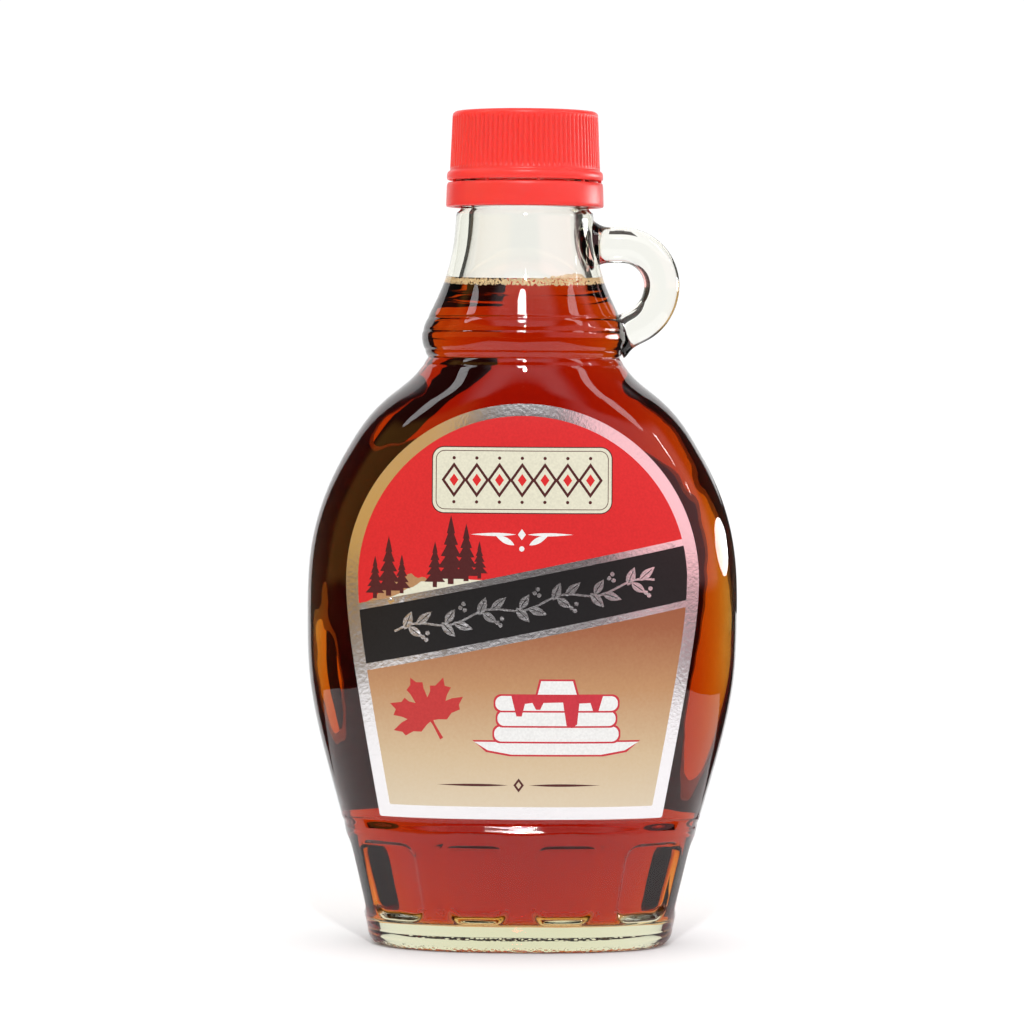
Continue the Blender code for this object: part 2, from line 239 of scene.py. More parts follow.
def makeCamera():
    data = bpy.data.cameras.new("camera")
    data.lens = view["lens"]
    data.sensor_width = view["sensor"]
    data.clip_end = 20.0
    camera = bpy.data.objects.new("camera", data)
    bpy.context.scene.collection.objects.link(camera)
    place = Vector((view["aimX"], -view["distance"], view["height"])) * mm
    aim = Vector((view["aimX"], 0.0, view["aimZ"])) * mm
    turn = (aim - place).to_track_quat("-Z", "Y").to_matrix()
    turn = turn @ Matrix.Rotation(math.radians(view["roll"]), 3, "Z")
    camera.matrix_world = Matrix.Translation(place) @ turn.to_4x4()
    bpy.context.scene.camera = camera


def makeWorld():
    world = bpy.data.worlds.new("studio")
    bpy.context.scene.world = world
    world.use_nodes = True
    tree = world.node_tree
    tree.nodes.clear()
    where = addNode(tree, "ShaderNodeTexCoord")
    split = addNode(tree, "ShaderNodeSeparateXYZ", {0: where.outputs["Generated"]})
    path = addNode(tree, "ShaderNodeLightPath")
    shares = {name: path.outputs[name] for name in ("Is Diffuse Ray", "Is Camera Ray")}
    for name, (axis, start, full) in roomEdges.items():
        shares[name] = addNode(tree, "ShaderNodeMapRange", {
            "Value": split.outputs[axis], "From Min": start, "From Max": full,
        }, interpolation_type="SMOOTHSTEP").outputs[0]
    lights = {name: (*colour, 1.0) for name, colour in roomLight.items()}
    for name, first, second, edge in roomBlends:
        lights[name] = addNode(tree, "ShaderNodeMixRGB", {
            "Fac": shares[edge], "Color1": lights[first], "Color2": lights[second]}).outputs[0]
    glow = addNode(tree, "ShaderNodeBackground", {"Strength": 1.0, "Color": lights["all"]})
    addNode(tree, "ShaderNodeOutputWorld", {"Surface": glow.outputs[0]})


def makeSweep():
    # a sweep of matt white paper: it stays plain white and takes a soft shadow
    paper = newMaterial("whitePaperSweep", {"Base Color": rgba("#FFFFFF"), "Roughness": 0.9})[0]
    side, front, back, z = sweep["side"], -sweep["front"], sweep["back"], -sweep["drop"]
    corners = [(-side, front, z), (side, front, z), (side, back, z), (-side, back, z)]
    makeObject("ground", corners, [(0, 1, 2, 3)], [paper])


def makeCards():
    # evenly lit white card: a plain glow with no shading
    board = newMaterial("litWhiteCard", {
        "Base Color": (0, 0, 0, 1), "Roughness": 1.0, "Specular IOR Level": 0.0,
        "Emission Color": (1, 1, 1, 1), "Emission Strength": cards["glow"],
    })[0]
    corners, faces = [], []
    y = cards["place"]
    for left, right, bottom, top in cards["sheets"]:
        faces.append(tuple(range(len(corners), len(corners) + 4)))
        corners += [(left, y, bottom), (right, y, bottom), (right, y, top), (left, y, top)]
    backdrop = makeObject("backdrop", corners, faces, [board])
    backdrop.visible_camera = False  # only the glass shows it


def makeLamps():
    for name, (place, width, height, power) in lamps.items():
        data = bpy.data.lights.new(name, "AREA")
        data.shape = "ELLIPSE"
        data.size, data.size_y = width * mm, height * mm
        data.energy = power
        lamp = bpy.data.objects.new(name, data)
        bpy.context.scene.collection.objects.link(lamp)
        lamp.location = Vector(place) * mm
        lamp.rotation_mode = "QUATERNION"
        lamp.rotation_quaternion = (Vector(lampAim) - Vector(place)).to_track_quat("-Z", "Y")
        if name != "ceilingSpot":
            # the others are mirrored and light nothing
            lamp.visible_diffuse = False
            lamp.visible_transmission = False


makeCamera()
makeWorld()
makeSweep()
makeCards()
makeLamps()
bpy.context.scene.view_settings.view_transform = "Standard"
bpy.context.scene.cycles.max_bounces = bounces
bpy.context.scene.cycles.transmission_bounces = bounces
print("camera, studio light and ground made")


# The glass

flask = {
    # height, half width, half depth, squareness of the bulb's cross-section
    "bulb": [
        (25.4, 35.0, 21.4, 2.45), (38.0, 38.5, 22.7, 2.42), (52.0, 41.28, 23.6, 2.40),
        (64.0, 41.77, 23.9, 2.40), (76.0, 41.28, 23.8, 2.40), (88.0, 38.2, 23.2, 2.36),
        (98.0, 33.1, 22.3, 2.25), (106.0, 26.6, 21.2, 2.10), (110.5, 21.2, 19.9, 2.03),
        (114.0, 18.7, 18.7, 2.00),
    ],
    # the same for the inside, rounder and with more glass at the two sides
    "hollow": [
        (25.4, 32.2, 18.6, 2.45), (38.0, 33.8, 20.4, 2.20), (52.0, 34.9, 21.6, 2.08),
        (64.0, 35.0, 21.9, 2.05), (76.0, 34.5, 21.8, 2.05), (88.0, 31.9, 21.2, 2.05),
        (98.0, 27.7, 20.3, 2.04), (106.0, 22.4, 18.9, 2.02), (110.5, 18.0, 17.4, 2.01),
        (114.0, 15.7, 15.7, 2.00),
    ],
    "shoulder": 106.0,
    # height and radius of the round neck, with the ring at its foot, and of the bore in it
    "neck": [(114.0, 18.7), (118.0, 19.85), (122.0, 18.6), (128.0, 15.85), (134.0, 14.15), (142.0, 13.3)],
    "bore": [(114.0, 15.7), (118.0, 15.9), (122.0, 14.9), (128.0, 12.6), (135.0, 10.7), (142.0, 9.9)],
    # faint grooves round the neck: height and depth
    "grooves": [(121.7, 0.10), (119.3, 0.13), (115.5, 0.16), (114.2, 0.12), (112.6, 0.08)],
    "grooveWidth": 0.28,
    "footHeight": 3.2,
    "foot": (29.8, 17.8, 2.40),  # a section, as above
    "heelInset": 2.4,
    "rimHeight": 23.2,
    "rim": (34.4, 22.3, 2.45),
    "rimArch": 0.35,  # the rim climbs this much over each flute
    "archStart": 0.4,  # above the flutes
    "pushUp": 1.2,
    "bearing": 3.2,
    "floor": 5.2,
    "floorCorner": 4.5,
    "floorDish": 0.2,
    "wall": 2.8,
    # radius and height of the finish that the cap goes on, below its rounded lip
    "finishOutline": [
        (12.65, 142.5), (12.4, 142.9), (12.4, 144.0), (13.2, 144.5), (13.5, 144.9), (13.5, 146.3),
        (13.2, 146.8), (12.4, 147.4), (12.4, 153.0),
    ],
    "finish": 12.4,
    "lipRound": 0.8,
    "lipInside": [(0.6, 0.0), (0.15, 0.25)],  # off the bore and below the mouth
    "mouth": 160.2,
    "mouthBore": 9.8,
    "boreSlope": 0.1 / 18,
    # how far apart the mesh's rings are, outside up to each height and inside
    "outerRings": [(23.2, 0.42), (25.4, 0.18), (106.0, 1.7), (112.0, 0.6), (123.0, 0.18), (142.0, 1.2)],
    "innerRings": {"mouth": 2.5, "dry": 0.9, "wet": 1.3, "bulb": 3.2},
    "sides": 300,
}
flutes = {
    "count": 10,
    "low": 6.4,
    "high": 20.8,
    "depth": 0.5,
    "share": 0.70,  # of the way round
    "corner": 2.6,
    "softness": 0.45,
    "nearby": 2.0,  # rings further than this above or below a flute stay round
}
loop = {
    "centre": (18.9, 128.2),
    "reach": 7.8,  # of its upper half, up and outwards
    "drop": 8.5,  # of its lower half
    "endAngle": -65,
    "topRoot": (12.2, 18.2),  # x of the straight stretch into the neck, at the top
    "lowRoot": 17.4,
    "halfHeight": 3.45,
    "halfDepth": 3.0,
    "topFlare": (0.5, 2.1),  # how much thicker at the neck, and over what length
    "lowFlare": (0.3, 1.7),
    "bendGap": 0.4,  # between the bend's last point and the lower stretch's first
    "points": (14, 64, 12),  # along the top stretch, the bend and the lower stretch
    "sides": 48,
}
syrupFill = {
    "level": 128.0,
    "overlap": 0.07,
    "meniscus": 0.9,
    "meniscusReach": 0.7,
    "surface": (0.15, 0.4, 0.8, 1.3, 2.0, 3.0, 5.0, 8.0, 11.0),  # its rings, from the glass inwards
    "pole": 0.1,
    "rings": {"bulb": 2.0, "neck": 0.9},
    "sides": 160,
}
glassRelief = {
    "waveLength": 9.09,
    "waveHeight": 0.12,
    "gripTop": 1.2,  # the grip fades in from this height down
    "gripFull": 0.5,
    "gripSize": 0.8,
    "gripHeight": 0.35,
}
bulbAt = spline(flask["bulb"])
hollowAt = spline(flask["hollow"])
neckAt = spline(flask["neck"])
boreAt = spline(flask["bore"])
bulbBottom = flask["bulb"][0][0]
waist = flask["neck"][0][0]
neckTop = flask["neck"][-1][0]
hollowCorner = flask["floor"] + flask["floorCorner"]


def outerSection(z):
    # half width, half depth, squareness
    foot, rim = np.array(flask["foot"]), np.array(flask["rim"])
    low, high = flask["footHeight"], flask["rimHeight"]
    if z < low:
        inset = flask["heelInset"] * (1 - math.sqrt(1 - (1 - z / low) ** 2))
        return foot - (inset, inset, 0)
    if z <= high:
        return foot + (rim - foot) * (z - low) / (high - low)
    if z < bulbBottom:
        turn = (z - high) / (bulbBottom - high) * math.pi
        return rim + (bulbAt(bulbBottom) - rim) * (1 - math.cos(turn)) / 2
    width = flask["grooveWidth"]
    groove = sum(depth * math.exp(-(((z - place) / width) ** 2)) for place, depth in flask["grooves"])
    if z <= waist:
        return bulbAt(z) - (groove, groove, 0)
    radius = neckAt(z)[0] - groove
    return np.array((radius, radius, 2.0))


def innerSection(z):
    if z < bulbBottom:
        return outerSection(z) - (flask["wall"], flask["wall"], 0)
    if z <= waist:
        return hollowAt(z)
    radius = boreAt(z)[0]
    return np.array((radius, radius, 2.0))


def ring(section, z, sides):
    # points evenly spaced round a superellipse, from +X and anticlockwise from above
    halfWidth, halfDepth, squareness = section
    turn = np.linspace(0, math.pi / 2, 241)
    x = np.cos(turn) ** (2 / squareness) * halfWidth
    y = np.sin(turn) ** (2 / squareness) * halfDepth
    run = np.concatenate(([0], np.cumsum(np.hypot(np.diff(x), np.diff(y)))))
    at = np.linspace(0, run[-1], sides // 4 + 1)
    qx, qy = np.interp(at, run, x), np.interp(at, run, y)
    px = np.concatenate((qx, -qx[-2::-1], -qx[1:], qx[-2:0:-1]))
    py = np.concatenate((qy, qy[-2::-1], -qy[1:], -qy[-2:0:-1]))
    return np.column_stack((px, py, np.full(len(px), float(z))))


def roundRing(radius, z, sides):
    return ring((radius, radius, 2.0), z, sides)


def shrunkRing(section, share, z, sides):
    return ring((section[0] * share, section[1] * share, section[2]), z, sides)


def floorRing(share, grow, sides):
    # the hollow's slightly dished floor, at a share of the way out
    corner = flask["floorCorner"]
    flat = innerSection(hollowCorner) - (corner, corner, 0)
    return shrunkRing(flat, share, flask["floor"] - flask["floorDish"] * (1 - share) - grow, sides)


def cornerRing(degrees, grow, sides):
    # the round corner between the hollow's floor, at 0 degrees, and its wall, at 90
    turn = math.radians(degrees)
    z = flask["floor"] - grow + (flask["floorCorner"] + grow) * (1 - math.cos(turn))
    inset = flask["floorCorner"] * (1 - math.sin(turn)) - grow
    return ring(innerSection(hollowCorner) - (inset, inset, 0), z, sides)


def outerLevels():
    height = flask["footHeight"]
    levels = [height * (1 - math.cos(math.radians(a))) for a in range(0, 90, 8)] + [height]
    for top, spacing in flask["outerRings"]:
        levels += steps(levels[-1], top, spacing)
    return levels


def fluteFrame(share):
    # point, outward normal and floor in the middle of a flute
    middle = (flutes["low"] + flutes["high"]) / 2
    fine = 720

    def at(s, z):
        points = ring(outerSection(z), z, fine)
        exact = (s % 1.0) * fine
        low = int(exact)
        return points[low % fine] + (points[(low + 1) % fine] - points[low % fine]) * (exact - low)

    point = at(share, middle)
    little = 0.002
    side = at(share + little, middle) - at(share - little, middle)
    side /= np.linalg.norm(side)
    normal = np.cross(side, at(share, middle + 1) - at(share, middle - 1))
    normal /= np.linalg.norm(normal)
    halfShare = 0.5 * flutes["share"] / flutes["count"]
    edges = [at(share + halfShare, z) - point for z in (flutes["low"], flutes["high"])]
    floor = min(edge @ normal for edge in edges) - flutes["depth"]
    return point, normal, floor


def pressFlutes(rows):
    # rows is (levels, sides, 3), changed in place: flat-floored panels with soft edges
    sides = rows.shape[1]
    shares = np.arange(sides) / sides
    middle = (flutes["low"] + flutes["high"]) / 2
    halfHeight = (flutes["high"] - flutes["low"]) / 2
    corner, softness = flutes["corner"], flutes["softness"]
    near = [row for row in rows if abs(row[0, 2] - middle) <= halfHeight + flutes["nearby"]]
    for k in range(flutes["count"]):
        point, normal, floor = fluteFrame(k / flutes["count"])
        away = (shares - k / flutes["count"] + 0.5) % 1.0 - 0.5
        for row in near:
            around = np.linalg.norm(np.roll(row, -1, axis=0) - row, axis=1).sum()
            halfWide = 0.5 * flutes["share"] / flutes["count"] * around
            qx = np.abs(away * around) - (halfWide - corner)
            qz = np.abs(row[:, 2] - middle) - (halfHeight - corner)
            outside = np.hypot(np.maximum(qx, 0), np.maximum(qz, 0))
            distance = outside + np.minimum(np.maximum(qx, qz), 0) - corner
            mask = smoothStep(softness, -softness, distance)
            above = (row - point) @ normal - floor
            row -= (mask * above)[:, None] * normal


def archRim(rows):
    # the rim between base and bulb follows the flutes' round tops
    shares = np.arange(rows.shape[1]) / rows.shape[1]
    arch = 0.5 + 0.5 * np.cos(2 * math.pi * flutes["count"] * shares)
    rim = flask["rimHeight"]
    for row in rows:
        z = row[0, 2]
        weight = smoothStep(flutes["high"] + flask["archStart"], rim, z) * smoothStep(bulbBottom, rim, z)
        row[:, 2] += flask["rimArch"] * weight * arch


def loopRoute():
    x0, z0 = loop["centre"]
    reach, drop = loop["reach"], loop["drop"]
    end = math.radians(loop["endAngle"])
    topPoints, bendPoints, lowPoints = loop["points"]
    route = [(x, z0 + reach) for x in np.linspace(*loop["topRoot"], topPoints)]
    for turn in np.linspace(math.pi / 2, end, bendPoints):
        route.append((x0 + reach * math.cos(turn), z0 + (reach if turn > 0 else drop) * math.sin(turn)))
    slope = drop * math.cos(end) / (reach * -math.sin(end))
    endX, endZ = route[-1]
    lowStretch = np.linspace(endX - loop["bendGap"], loop["lowRoot"], lowPoints)
    route += [(x, endZ - slope * (endX - x)) for x in lowStretch]
    return np.array(route)


def makeLoop(glass):
    route = loopRoute()
    run = np.concatenate(([0], np.cumsum(np.hypot(*np.diff(route, axis=0).T))))
    flare = np.ones(len(run))
    for (more, length), away in ((loop["topFlare"], run), (loop["lowFlare"], run[-1] - run)):
        flare += more * np.exp(-((away / length) ** 2))
    tangent = np.gradient(route, axis=0)
    tangent /= np.linalg.norm(tangent, axis=1)[:, None]
    turn = np.arange(loop["sides"]) / loop["sides"] * 2 * math.pi
    rows = []
    for (x, z), (tx, tz), wide in zip(route, tangent, flare):
        out = loop["halfHeight"] * wide * np.cos(turn)
        deep = loop["halfDepth"] * wide * np.sin(turn)
        rows.append(np.column_stack((x - tz * out, -deep, z + tx * out)))
    return makeObject("loop", *closedTube(rows), [glass])


def flaskRings():
    # from under the foot up the outside, over the lip and down the hollow; and the first wet ring
    sides = flask["sides"]
    bearing = flask["bearing"]
    flat = outerSection(0.0) - (bearing, bearing, 0)
    rings = []
    for share in (0.004, 0.1, 0.25, 0.4, 0.55, 0.7, 0.82, 0.92, 0.98):
        rings.append(shrunkRing(flat, share, flask["pushUp"] * (1 - share**4), sides))
    body = np.array([ring(outerSection(z), z, sides) for z in outerLevels()])
    pressFlutes(body)
    archRim(body)
    rings += list(body)
    finish, mouth, bore, lip = flask["finish"], flask["mouth"], flask["mouthBore"], flask["lipRound"]
    collar = flask["finishOutline"] + arcPoints(finish - lip, mouth - lip, lip, range(10, 91, 20))
    collar += [(bore + wide, mouth - deep) for wide, deep in flask["lipInside"]] + [(bore, mouth - lip)]
    spacing = flask["innerRings"]
    down = steps(mouth - lip, neckTop, spacing["mouth"])[:-1]
    collar += [(bore + flask["boreSlope"] * (mouth - z), z) for z in down]
    rings += [roundRing(radius, z, sides) for radius, z in collar]
    wetTop = syrupFill["level"] + syrupFill["meniscus"]
    inside = [neckTop] + steps(neckTop, wetTop, spacing["dry"])
    firstWet = len(rings) + len(inside) - 1
    inside += steps(wetTop, flask["shoulder"], spacing["wet"])
    inside += steps(flask["shoulder"], hollowCorner, spacing["bulb"])
    rings += [ring(innerSection(z), z, sides) for z in inside]
    rings += [cornerRing(degrees, 0.0, sides) for degrees in range(80, -1, -10)]
    rings += [floorRing(share, 0.0, sides) for share in (0.9, 0.75, 0.55, 0.35, 0.15, 0.004)]
    return rings, firstWet


def makeFlask():
    glass = makeGlass()
    rings, firstWet = flaskRings()
    points, faces = closedTube(rings)
    bottle = makeObject("flask", points, faces, [glass, makeWettedGlass()])
    sides = flask["sides"]
    wetted = np.zeros(len(faces), int)
    wetted[firstWet * sides:(len(rings) - 1) * sides] = 1
    wetted[-1] = 1
    bottle.data.polygons.foreach_set("material_index", wetted)
    handle = makeLoop(glass)
    union = bottle.modifiers.new("loop", "BOOLEAN")
    union.operation = "UNION"
    union.object = handle
    graph = bpy.context.evaluated_depsgraph_get()
    joined = bpy.data.meshes.new_from_object(bottle.evaluated_get(graph))
    bottle.modifiers.clear()
    bottle.data = joined
    bpy.data.objects.remove(handle)
    joined.shade_smooth()
    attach(bottle, "root")
    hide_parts("glass_bottle")


def makeGlass():
    # soda-lime glass pressed in a mould: slow waves that bend what is seen through it, and a faint
    # green where it is thick
    glass, tree, shader = newMaterial("sodaLimeGlass", {
        "Base Color": (1, 1, 1, 1), "Roughness": 0.0, "IOR": 1.46, "Transmission Weight": 1.0,
    }, ((0.70, 0.70, 0.32, 1), 30.0))
    relief = {key: value * mm for key, value in glassRelief.items()}
    where = addNode(tree, "ShaderNodeTexCoord").outputs["Object"]
    waves = addNode(tree, "ShaderNodeTexNoise", {
        "Vector": where, "Scale": 1 / relief["waveLength"], "Detail": 1.0})
    slow = addNode(tree, "ShaderNodeMath", {
        0: waves.outputs[0], 1: relief["waveHeight"]}, operation="MULTIPLY")
    # a grip of small bumps on the bearing ring, up to the heel
    split = addNode(tree, "ShaderNodeSeparateXYZ", {0: where})
    low = addNode(tree, "ShaderNodeMapRange", {
        "Value": split.outputs["Z"], "From Min": relief["gripTop"], "From Max": relief["gripFull"],
        "To Max": relief["gripHeight"]})
    dots = addNode(tree, "ShaderNodeTexVoronoi", {"Vector": where, "Scale": 1 / relief["gripSize"]})
    grip = addNode(tree, "ShaderNodeMath", {
        0: dots.outputs["Distance"], 1: low.outputs[0]}, operation="MULTIPLY")
    height = addNode(tree, "ShaderNodeMath", {0: slow.outputs[0], 1: grip.outputs[0]}, operation="ADD")
    bump = addNode(tree, "ShaderNodeBump", {"Height": height.outputs[0], "Strength": 1.0, "Distance": 1.0})
    tree.links.new(bump.outputs[0], shader.inputs["Normal"])
    return glass


def makeWettedGlass():
    # the same glass where syrup wets it. Glass bends light a little more than syrup does, so this
    # wall bends it by the ratio of the two and all but vanishes
    return newMaterial("glassAgainstSyrup", {
        "Base Color": (1, 1, 1, 1), "Roughness": 0.0, "IOR": 1.022, "Transmission Weight": 1.0,
    })[0]


makeFlask()
print("glass flask made")


# The syrup

def makeSyrup():
    # clear maple syrup: it takes blue first and then green, so it is orange where it is thin and a
    # dark red-brown where it is thick. The wetted glass bends the light for it, so its IOR is 1
    material = newMaterial("mapleSyrup", {
        "Base Color": (1, 1, 1, 1), "Roughness": 0.0, "IOR": 1.0, "Transmission Weight": 1.0,
    }, ((0.959, 0.743, 0.335, 1), 500.0))[0]
    sides, grow = syrupFill["sides"], syrupFill["overlap"]
    level, meniscus = syrupFill["level"], syrupFill["meniscus"]
    spacing = syrupFill["rings"]
    rings = [floorRing(share, grow, sides) for share in (0.004, 0.2, 0.4, 0.6, 0.8, 0.92)]
    rings += [cornerRing(degrees, grow, sides) for degrees in range(0, 90, 8)]
    walls = [hollowCorner] + steps(hollowCorner, flask["shoulder"], spacing["bulb"])
    walls += steps(flask["shoulder"], level + meniscus, spacing["neck"])
    rings += [ring(innerSection(z) + (grow, grow, 0), z, sides) for z in walls]
    # the surface, which climbs the glass at its edge
    radius = innerSection(level)[0]
    for inset in (*syrupFill["surface"], radius - syrupFill["pole"]):
        z = level + meniscus * math.exp(-inset / syrupFill["meniscusReach"])
        rings.append(roundRing(radius - inset, z, sides))
    syrup = makeObject("syrup_fill", *closedTube(rings), [material])
    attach(syrup, "root")
    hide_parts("syrup")


makeSyrup()
print("syrup made")


# Geometry Nodes helpers

def newTree(name, inputs):
    tree = bpy.data.node_groups.new(name, "GeometryNodeTree")
    tree.interface.new_socket("Geometry", in_out="INPUT", socket_type="NodeSocketGeometry")
    for label, kind in inputs.items():
        tree.interface.new_socket(label, in_out="INPUT", socket_type="NodeSocket" + kind)
    tree.interface.new_socket("Geometry", in_out="OUTPUT", socket_type="NodeSocketGeometry")
    return tree, addNode(tree, "NodeGroupInput").outputs


def endTree(tree, made, material):
    real = addNode(tree, "GeometryNodeRealizeInstances", {0: made})
    painted = addNode(tree, "GeometryNodeSetMaterial", {"Geometry": real.outputs[0], "Material": material})
    addNode(tree, "NodeGroupOutput", {0: painted.outputs[0]})
    return tree


def applyTree(piece, tree, values):
    modifier = piece.modifiers.new(tree.name, "NODES")
    modifier.node_group = tree
    sockets = {item.name: item.identifier for item in tree.interface.items_tree if item.in_out == "INPUT"}
    for label, value in values.items():
        modifier[sockets[label]] = value
    graph = bpy.context.evaluated_depsgraph_get()
    graph.update()
    made = bpy.data.meshes.new_from_object(piece.evaluated_get(graph))
    piece.modifiers.clear()
    piece.data = made
    made.shade_smooth()


# Foam where the syrup meets the glass

foam = {
    "bottom": 127.5,
    "top": 128.7,
    "heap": 1.1,  # how much higher it stands by the finger loop
    "heapTurn": -38.0,  # degrees from +X
    "heapWidth": 30.0,  # degrees
    "heapLean": 0.055,  # share of the radius that it leans in by, for each mm of height
    "gap": 0.42,
    "rings": 5,
    "sides": 96,
    "perSquareMm": 13.0,
    "smallest": 0.07,
    "largest": 0.29,
    "seed": 5,
}


def bubbleTree():
    tree, inputs = newTree("bubbles", {
        "Density": "Float", "Smallest": "Float", "Largest": "Float", "Seed": "Int", "Skin": "Material",
    })
    spread = addNode(tree, "GeometryNodeDistributePointsOnFaces", {
        "Mesh": inputs["Geometry"], "Density": inputs["Density"], "Seed": inputs["Seed"]})
    ball = addNode(tree, "GeometryNodeMeshIcoSphere", {"Radius": 1.0, "Subdivisions": 2})
    size = addNode(tree, "FunctionNodeRandomValue", {
        2: inputs["Smallest"], 3: inputs["Largest"], "Seed": inputs["Seed"]})
    placed = addNode(tree, "GeometryNodeInstanceOnPoints", {
        "Points": spread.outputs["Points"], "Instance": ball.outputs["Mesh"], "Scale": size.outputs[1]})
    return endTree(tree, placed.outputs[0], inputs["Skin"])


def makeFoam():
    # beaten syrup: thin skins round air, so many of them that it turns pale and matt. The glass
    # keeps the soft light from it, so a faint glow stands in for that light
    skin = newMaterial("syrupFoam", {
        "Base Color": rgba("#F0DFC4"), "Roughness": 0.3, "IOR": 1.4,
        "Emission Color": rgba("#DCCBA6"), "Emission Strength": 0.4,
    })[0]
    sides, gap = foam["sides"], foam["gap"]
    turns = np.degrees(np.arange(sides) / sides * 2 * math.pi)
    away = (turns - foam["heapTurn"] + 180) % 360 - 180
    heap = foam["heap"] * np.exp(-((away / foam["heapWidth"]) ** 2))
    rows = []
    for share in np.linspace(0, 1, foam["rings"]):
        z = foam["bottom"] + share * (foam["top"] - foam["bottom"])
        row = ring(innerSection(z) - (gap, gap, 0), z, sides)
        row[:, 2] += share * heap
        row[:, :2] *= (1 - share * heap * foam["heapLean"])[:, None]
        rows.append(row)
    piece = makeObject("foam", np.concatenate(rows), gridFaces(len(rows), sides), [skin])
    applyTree(piece, bubbleTree(), {
        "Density": foam["perSquareMm"] / mm**2, "Smallest": foam["smallest"] * mm,
        "Largest": foam["largest"] * mm, "Seed": foam["seed"], "Skin": skin,
    })
    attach(piece, "root")


makeFoam()
print("foam made")


# The cap and its tamper ring

cap = {
    "bottom": 148.35,
    "bore": 12.75,
    "boreEdge": 0.2,
    "ceiling": 160.5,  # of the hollow in it
    "ceilingRings": (0.05, 6.0),
    # radius and height round the outside: the bead at the lower edge, and the top within its
    # rounded edge
    "beadOutline": [
        (14.75, 148.35), (15.0, 148.43), (15.15, 148.65), (15.15, 149.35), (15.1, 149.7),
        (14.95, 149.95), (14.72, 150.1), (14.58, 150.25), (14.55, 150.5),
    ],
    "topOutline": [
        (12.0, 161.7), (11.6, 161.64), (11.3, 161.5), (10.8, 161.5), (8.0, 161.5), (4.0, 161.5),
        (0.05, 161.5),
    ],
    "topEdge": (13.23, 160.8, 0.9),  # its middle's radius and height, and its rounding
    "wall": 14.55,
    "lean": 0.42,  # the wall leans in by this much over the ribs
    "ribs": 88,
    "ribDepth": 0.32,
    "ribLow": 150.75,
    "ribHigh": 160.75,
    "ribFade": (0.35, 0.6),  # how fast the ribs come up at the bottom and fade at the top
    "ribInnermost": 13.6,  # nothing nearer the axis is ribbed
    "ribCrest": 0.45,  # cosines between which a groove's side runs
    "ribValley": -0.65,
    "ribRows": 26,
    "pointsPerRib": 8,
}
tamper = {
    "bottom": 143.2,
    "top": 147.9,
    "radius": 15.3,
    "bore": 13.86,
    "boreEdge": 0.15,
    # the outside: how far in from the radius, and how far above the bottom or below the top
    "lowOutline": [(0.35, 0.0), (0.12, 0.06), (0.0, 0.3), (0.02, 1.0), (0.06, 2.3)],
    "highOutline": [(0.12, 0.7), (0.2, 0.25), (0.4, 0.0)],
    "topInside": 0.3,
    "sides": 240,
    # the posts across the slit that tear when the cap is first turned
    "posts": 9,
    "postRadius": 0.35,
    "postCircle": 14.5,
    "postSunk": 0.2,  # into the ring and into the cap
    "postSides": 12,
}
capPattern = {
    "mottle": 2.38,
    "smoothest": 0.28,  # roughness
    "roughest": 0.42,
    "grain": 0.385,
    "grainHeight": 0.05,
}


def makeCapPlastic():
    # injection-moulded polypropylene: satin, a little translucent, faintly mottled by the mould.
    # The real grain is too fine to show, so it is drawn coarser
    plastic, tree, shader = newMaterial("redPolypropylene", {
        "Base Color": rgba("#FF3B34"), "IOR": 1.45,
        "Subsurface Weight": 0.7, "Subsurface Radius": (1.0, 0.12, 0.08), "Subsurface Scale": 0.006,
    })
    where = addNode(tree, "ShaderNodeTexCoord").outputs["Object"]
    mottle = addNode(tree, "ShaderNodeTexNoise", {
        "Vector": where, "Scale": 1 / (capPattern["mottle"] * mm), "Detail": 3.0})
    gloss = addNode(tree, "ShaderNodeMapRange", {
        "Value": mottle.outputs[0], "To Min": capPattern["smoothest"], "To Max": capPattern["roughest"]})
    tree.links.new(gloss.outputs[0], shader.inputs["Roughness"])
    grain = addNode(tree, "ShaderNodeTexNoise", {
        "Vector": where, "Scale": 1 / (capPattern["grain"] * mm), "Detail": 2.0})
    bump = addNode(tree, "ShaderNodeBump", {
        "Height": grain.outputs[0], "Strength": 0.08, "Distance": capPattern["grainHeight"] * mm})
    tree.links.new(bump.outputs[0], shader.inputs["Normal"])
    return plastic


